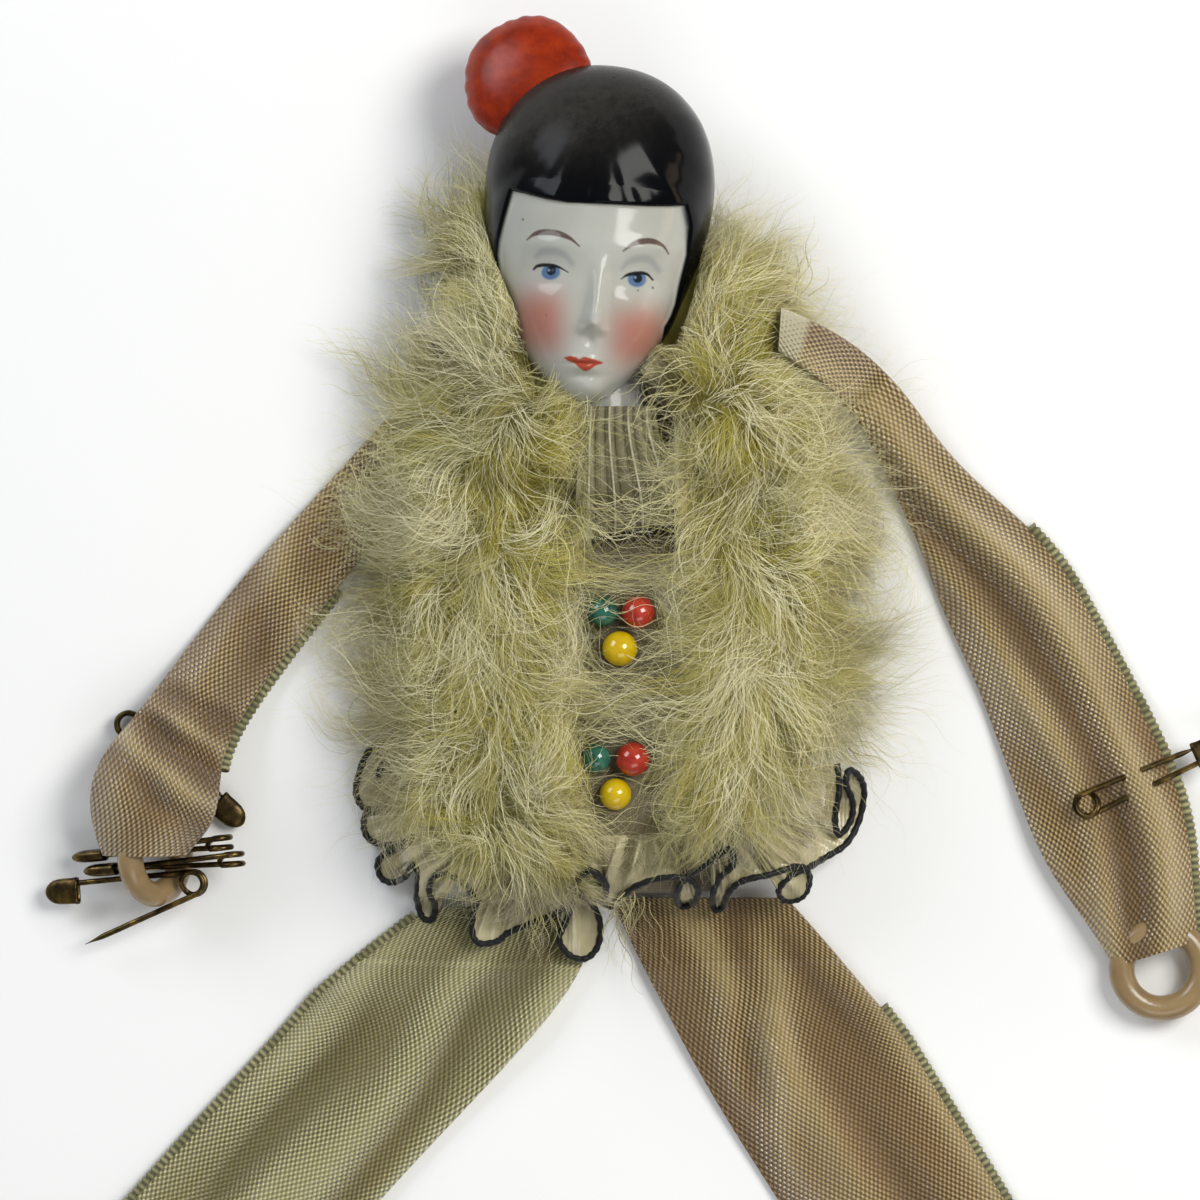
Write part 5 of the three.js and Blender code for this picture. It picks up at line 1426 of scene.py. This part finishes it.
# %% Wisps
# Place, height over the ground, heading, length, curl in degrees per millimetre, number of barbs
WISPS = [
    (-23, 28, 2, 133, 14, 2, 30), (-22, 30, 3, 120, 9, -5, 20), (-25, -4, 1, -120, 15, 7, 14),
    (-26, 14, 1, 190, 9, -3, 18), (-25, 6, 1, 215, 9, 5, 14), (-19, 48, 2, 112, 7, 3, 24),
    (26, -9, 1, -48, 10, 3, 18), (26, 3, 1, 8, 8, -6, 16), (25.6, 16, 1, 25, 8, 4, 16), (19, 40, 3, 62, 8, 4, 26),
    (2, -28, 1, -100, 9, 3, 24), (-8, -29, 1, -80, 8, -4, 20), (-11, 29, 6, 18, 12, -2, 12),
    (9, 30, 6, 205, 10, 2, 16), (-6, 6, 4, -12, 11, 3, 14), (9, 1, 4, 197, 9, -3, 12), (-5, -10, 4, 14, 10, -2, 12),
    (9, -12, 4, 172, 9, 3, 12), (-6, 17, 5, -30, 14, 2, 18), (10, 20, 5, 215, 12, -3, 18),
    (-5, -19, 3, -20, 9, 3, 12),
]
dice = np.random.default_rng(31)
steps = 16
lines, halves = [], []
share = np.linspace(0, 1, steps)
for x, y, rise, aim, length, curl, number in WISPS:
    for _ in range(int(number * 1.4)):
        reach = length * dice.uniform(0.55, 1.1)
        angle = math.radians(aim + dice.normal(0, 8)) + math.radians(curl * dice.uniform(0.6, 1.4)) * reach * share
        angle = angle + 0.5 * np.sin(share * reach * 0.9 + dice.uniform(0, 6.3))
        at_x = x + dice.normal(0, 1.2) + np.cumsum(np.cos(angle)) * reach / steps
        at_y = y + dice.normal(0, 1.2) + np.cumsum(np.sin(angle)) * reach / steps
        bow = dice.uniform(0.5, 1.6) * np.sin(share * math.pi * 0.8)
        at_z = over_frill(at_x, at_y, np.maximum(down_ground(at_x, at_y) * 0.9 + rise + bow, 0.5))
        lines.append(np.stack([at_x, at_y, at_z], -1))
        halves.append(dice.uniform(0.03, 0.075) * (1 - 0.8 * share))
strips("down_wisps", np.array(lines), np.array(halves),
       {"barb_tip": share[None] * 0.6 + 0.4, "barb_tone": dice.uniform(0.1, 0.75, (len(lines), 1)),
        "barb_edge": np.full((len(lines), 1), 0.7)})

# %% [markdown]
# ## Black-edged satin ruffle
# The skirt is a cream satin ribbon gathered on one edge. Its free edge is longer than the seam
# and has nowhere to go but in folds, and a braided black cord is sewn along it. Seen from
# above, the edge runs forward and back like handwriting. Its course is given point by point,
# with a height for each, so that every fold passes over or under the next.

# %% Satin and cord
satin, tree, shader = finish("champagne_satin", {"Roughness": 0.24, "Sheen Weight": 0.2, "Anisotropic": 0.5,
                                                "Specular IOR Level": 0.7})
place, _, _ = mottled(tree, shader, 130.0, [(0.35, "#8e8460"), (0.65, "#c8bf99")], Detail=3.0)
ribs = node(tree, "ShaderNodeTexWave", {"bands_direction": "X"}, {"Vector": place, "Scale": 700.0, "Distortion": 2.0})
line_bump = node(tree, "ShaderNodeBump", None, {"Height": ribs.outputs["Fac"], "Strength": 0.25, "Distance": 0.0001})
tree.links.new(line_bump.outputs[0], shader.inputs["Normal"])

black_cord, tree, shader = finish("black_silk_braid", {"Roughness": 0.5, "Sheen Weight": 0.12,
                                                     "Specular IOR Level": 0.3})
place, _, _ = mottled(tree, shader, 300.0, [(0.4, "#050607"), (0.7, "#131518")])
plies = node(tree, "ShaderNodeTexNoise", None, {"Vector": place, "Scale": 2500.0})
ply_bump = node(tree, "ShaderNodeBump", None, {"Height": plies.outputs["Fac"], "Strength": 0.5, "Distance": 0.0002})
tree.links.new(ply_bump.outputs[0], shader.inputs["Normal"])

# %% Ruffle's edge
# The course of the cord as it is seen from the front, in picture columns and rows, and its height
HEM = [
    (384, 742, 4.2), (366, 754, 4), (354, 788, 2), (359, 807, 1.3), (371, 811, 1.3), (382, 808, 2.2),
    (385, 796, 3.8), (378, 776, 5.2), (386, 762, 5.6), (398, 776, 5.2), (396, 796, 3.6), (380, 812, 1.6),
    (364, 816, 0.9), (362, 832, 0.8), (369, 843, 0.9), (385, 847, 1.6), (402, 844, 3), (412, 834, 4.6),
    (408, 846, 3.4), (388, 853, 1.6), (376, 864, 1), (379, 880, 0.9), (391, 885, 1.4), (404, 878, 2.8),
    (413, 866, 4.4), (418, 878, 3.4), (416, 902, 1.9), (421, 920, 1.4), (431, 922, 1.6), (434, 908, 3),
    (429, 890, 4.6), (438, 874, 5.6), (458, 878, 5.4), (474, 898, 4.6), (471, 930, 4), (478, 945, 3.8),
    (497, 943, 3.8), (507, 935, 4), (530, 925, 4.4), (556, 914, 4.8), (572, 902, 5.6), (566, 922, 4.8),
    (559, 942, 3.6), (570, 958, 2.8), (586, 961, 2.6), (598, 948, 2.6), (600, 924, 3.4), (590, 902, 4.8),
    (577, 891, 5.8), (579, 878, 6.4), (591, 869, 6.6), (605, 881, 6), (605, 896, 4.8), (597, 897, 4.4),
    (610, 908, 4.4), (621, 897, 5.2), (638, 884, 6), (665, 876, 6.4), (688, 878, 6), (698, 890, 5.2),
    (694, 904, 4.4), (682, 908, 4.2), (676, 896, 5), (686, 876, 6), (706, 863, 6.4), (722, 850, 6.6),
    (731, 848, 6.6), (732, 864, 6), (720, 876, 5.4), (713, 894, 4.6), (715, 911, 4), (724, 908, 4.2),
    (729, 892, 5), (742, 880, 5.6), (768, 874, 5.6), (797, 866, 5.2), (809, 874, 4.6), (808, 890, 3.6),
    (799, 900, 3), (785, 901, 3.2), (779, 890, 4.2), (790, 876, 4.8), (808, 868, 4.8), (828, 858, 4.2),
    (848, 845, 3.4), (861, 822, 2.6), (866, 794, 2.8), (861, 778, 4.2), (850, 771, 5.4), (847, 785, 5.6),
    (854, 803, 4.4), (852, 822, 4.2), (840, 836, 4.6), (836, 818, 5.4), (840, 790, 5.6), (838, 764, 5.6),
]
MIDDLE_COLUMN, MIDDLE_ROW, POINTS_PER_MM = 610, 650, 8.75
rim = rounded([((a - MIDDLE_COLUMN) / POINTS_PER_MM, (MIDDLE_ROW - b) / POINTS_PER_MM, c) for a, b, c in HEM], 8)
over_pad = (np.abs(rim[:, 0]) < PAD_HALF_WIDTH) & (np.abs(rim[:, 1] - PAD_MIDDLE) < PAD_HALF_LENGTH)
above = cover_top(rim[:, 0], rim[:, 1]) + 0.2 + 0.75 * np.maximum(rim[:, 2] - 3.6, 0)
rim[:, 2] = np.where(over_pad, np.maximum(rim[:, 2], above), rim[:, 2])
ease = np.array([1, 2, 3, 2, 1]) / 9
rim[2:-2, 2] = np.convolve(rim[:, 2], ease, "valid")
print("ruffle edge points", len(rim))

# %% [markdown]
# Each place on the edge is joined to the seam by the shortest straight threads that don't
# cross: the edge is averaged over a whole fold, and the nearest place on the seam is taken.
# Fine gathers run out from the stitches and die away before the cord.

# %% Ruffle
SEAM_INSET = 8
FOLD_SPAN = 90
angle = np.radians(np.linspace(176, 364, 700))
seam = np.stack([squared(np.cos(angle), 0.5) * (PAD_HALF_WIDTH - SEAM_INSET),
                 PAD_MIDDLE + squared(np.sin(angle), 0.5) * (PAD_HALF_LENGTH - SEAM_INSET)], -1)
window = np.exp(-(np.arange(-FOLD_SPAN, FOLD_SPAN + 1) / 34) ** 2)
padded_rim = np.pad(rim[:, :2], ((FOLD_SPAN, FOLD_SPAN), (0, 0)), "edge")
middle_course = np.stack([np.convolve(padded_rim[:, k], window / window.sum(), "valid") for k in (0, 1)], -1)
nearest = np.argmin(((middle_course[:, None] - seam[None]) ** 2).sum(-1), 1)
order = np.maximum.accumulate(nearest).astype(float)
order = np.convolve(np.pad(order, 20, "edge"), np.ones(41) / 41, "valid")
start = np.column_stack([resample(seam, np.arange(len(seam)), order), np.full(len(rim), 4.0)])
hem_rows = 16
gather = 0.9 * np.sin(order * 0.7 + np.sin(order * 0.11))
rows = []
for share in np.linspace(0, 1, hem_rows):
    spot = mix(start, rim, share)
    on_pad = (np.abs(spot[:, 0]) < PAD_HALF_WIDTH - 0.5) & (np.abs(spot[:, 1] - PAD_MIDDLE) < PAD_HALF_LENGTH - 0.5)
    rest = np.where(on_pad, cover_top(spot[:, 0], spot[:, 1]) + 0.4, 0)
    spot[:, 2] = np.maximum(spot[:, 2], rest) + 0.9 * np.sin(share ** 0.7 * math.pi) * (1 + gather)
    rows.append(spot)
ruffle_points = np.stack(rows)
ruffle = piece("satin_ruffle", ruffle_points, grid_faces(hem_rows, len(rim)), "torso", satin)
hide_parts("hem_frill")
twist = 0.38 + 0.05 * np.cos(np.arange(len(rim)) * 1.7)
hem_cord = tube_piece("ruffle_black_cord", rim, twist, "torso", black_cord, 10)
depth = np.linalg.norm(np.diff(ruffle_points, axis=0), axis=2).sum(0).mean()

# %% [markdown]
# ## Neck frill
# Under the chin hangs a sheer ribbon in small pleats that fan out downward. White corded
# threads mark the pleats and a black cord edges the bottom, as on the skirt.

# %% Frill
sheer, tree, shader = finish("sheer_cream_organdie", {"Roughness": 0.5, "Sheen Weight": 0.3, "Alpha": 0.93})
place, _, _ = mottled(tree, shader, 150.0, [(0.35, "#605b38"), (0.65, "#857f5b")], Detail=3.0)
warp = node(tree, "ShaderNodeTexWave", {"bands_direction": "X"}, {"Vector": place, "Scale": 1100.0})
warp_bump = node(tree, "ShaderNodeBump", None, {"Height": warp.outputs["Fac"], "Strength": 0.3, "Distance": 0.0001})
tree.links.new(warp_bump.outputs[0], shader.inputs["Normal"])

FRILL_PLEATS = 8
FRILL_TOP = 27.6
FRILL_DROP = 15.6
FRILL_ROWS = 34
PLEAT_STEPS = 14
across = np.linspace(0, 1, FRILL_PLEATS * PLEAT_STEPS + 1)
zigzag = np.cos(across * FRILL_PLEATS * 2 * math.pi)
lean_over = np.sin(across * FRILL_PLEATS * 2 * math.pi)
rows = []
for share in np.linspace(0, 1, FRILL_ROWS):
    width = mix(8.4, 12.6, smooth(share, 0, 1))
    left = mix(-3.2, -4.2, share)
    x = left + across * width + 0.35 * lean_over * (0.4 + 0.6 * share)
    y = FRILL_TOP - share * (FRILL_DROP - 2.2 * across) + 0.25 * zigzag * share
    rest = mix(12.6, 16.5, smooth(y, 12.5, 18.5))
    rows.append(np.stack([x, y, rest + 0.24 * zigzag], -1))
frill_points = np.stack(rows)
frill = piece("neck_frill_ribbon", frill_points, grid_faces(FRILL_ROWS, len(across)), "torso", sheer)
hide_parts("neck_frill")

thread_white, tree, shader = finish("white_cotton_cord", {"Roughness": 0.6, "Sheen Weight": 0.2})
mottled(tree, shader, 1800.0, [(0.3, "#989374"), (0.7, "#c5c1a4")])
for k, pleat in enumerate((1, 3, 5, 7)):
    path = resample(frill_points[:, pleat * PLEAT_STEPS] + (0, 0, 0.12), np.arange(FRILL_ROWS),
                    np.linspace(0, FRILL_ROWS - 1, 240))
    tube_piece(f"frill_cord_{k + 1}", path, 0.1 + 0.06 * np.cos(np.arange(240) * 1.1) ** 2, "torso",
                            thread_white, 8)
tube_piece("frill_black_edge", frill_points[-1], 0.26 + 0.04 * np.cos(np.arange(len(across)) * 1.9),
                        "torso", black_cord, 10)

# %% [markdown]
# ## Neck sleeve and binding
# The top of the cotton cover is a tube drawn over the collar of the head and tied with thread
# below its rim, so the head can be turned a little but can't come off.

# %% Sleeve
NECK = (-0.5, 9)
SLEEVE_STEPS = 144
around = np.linspace(0, 2 * math.pi, SLEEVE_STEPS + 1)[:-1]
rows = []
for height, radius in ((15.9, 6.7), (17.6, 6.5), (19, 6.35), (20.3, 6.2), (21.3, 5.3), (22, 4.95), (22.7, 4.95),
                       (23.4, 5.3), (24.4, 5.7), (25.6, 5.9), (26.3, 6.0)):
    r = radius + 0.14 * np.cos(around * 24 + height * 0.3)
    rows.append(np.stack([NECK[0] + r * np.cos(around), np.full(SLEEVE_STEPS, height),
                          NECK[1] + r * np.sin(around)], -1))
sleeve = piece("neck_sleeve_cloth", np.stack(rows), grid_faces(len(rows), SLEEVE_STEPS, closed=True), "torso",
               cover_cloth)
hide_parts("neck_sleeve")
WINDS = 7
WIND_RADIUS = 5.35
winds = np.linspace(0, WINDS * 2 * math.pi, 500)
climb = 21.6 + 0.19 * winds / (2 * math.pi) + 0.05 * np.sin(winds * 0.7)
thread_path = np.stack([NECK[0] + WIND_RADIUS * np.cos(winds), climb, NECK[1] + WIND_RADIUS * np.sin(winds)], -1)
binding = tube_piece("neck_binding_thread", thread_path, 0.13, "torso", thread_white, 8)
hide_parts("neck_binding")

# %% [markdown]
# ## Down behind the neck
# The third strip of down closes the collar behind the head. It is short and lies on the table.

# %% Nape
low, high = [np.array(corner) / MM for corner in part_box("fur_nape")]
dice = np.random.default_rng(44)
count, steps = 9000, 7
centre = (low + high) / 2
half = (high - low) / 2
ray = dice.normal(0, 1, (count, 3))
ray /= np.linalg.norm(ray, axis=1, keepdims=True)
root = centre + ray * half * 0.72
aim = ray + dice.normal(0, 0.35, (count, 3)) + (0, 0.3, 0)
aim /= np.linalg.norm(aim, axis=1, keepdims=True)
share = np.linspace(0, 1, steps)
length = dice.uniform(2.5, 6, count)
droop = np.array([0, 0, -1.0])
line = root[:, None] + aim[:, None] * (length[:, None] * share)[..., None] + droop * (share ** 2)[None, :, None] * 1.5
line[..., 2] = np.clip(line[..., 2], 0.4, high[2] + 0.5)
nape = strips("down_nape", line, dice.uniform(0.04, 0.08, count)[:, None] * (1 - 0.85 * share ** 2),
              {"barb_tip": share[None], "barb_tone": dice.uniform(0, 1, (count, 1)),
               "barb_edge": np.full((count, 1), 0.6)})
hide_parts("fur_nape")
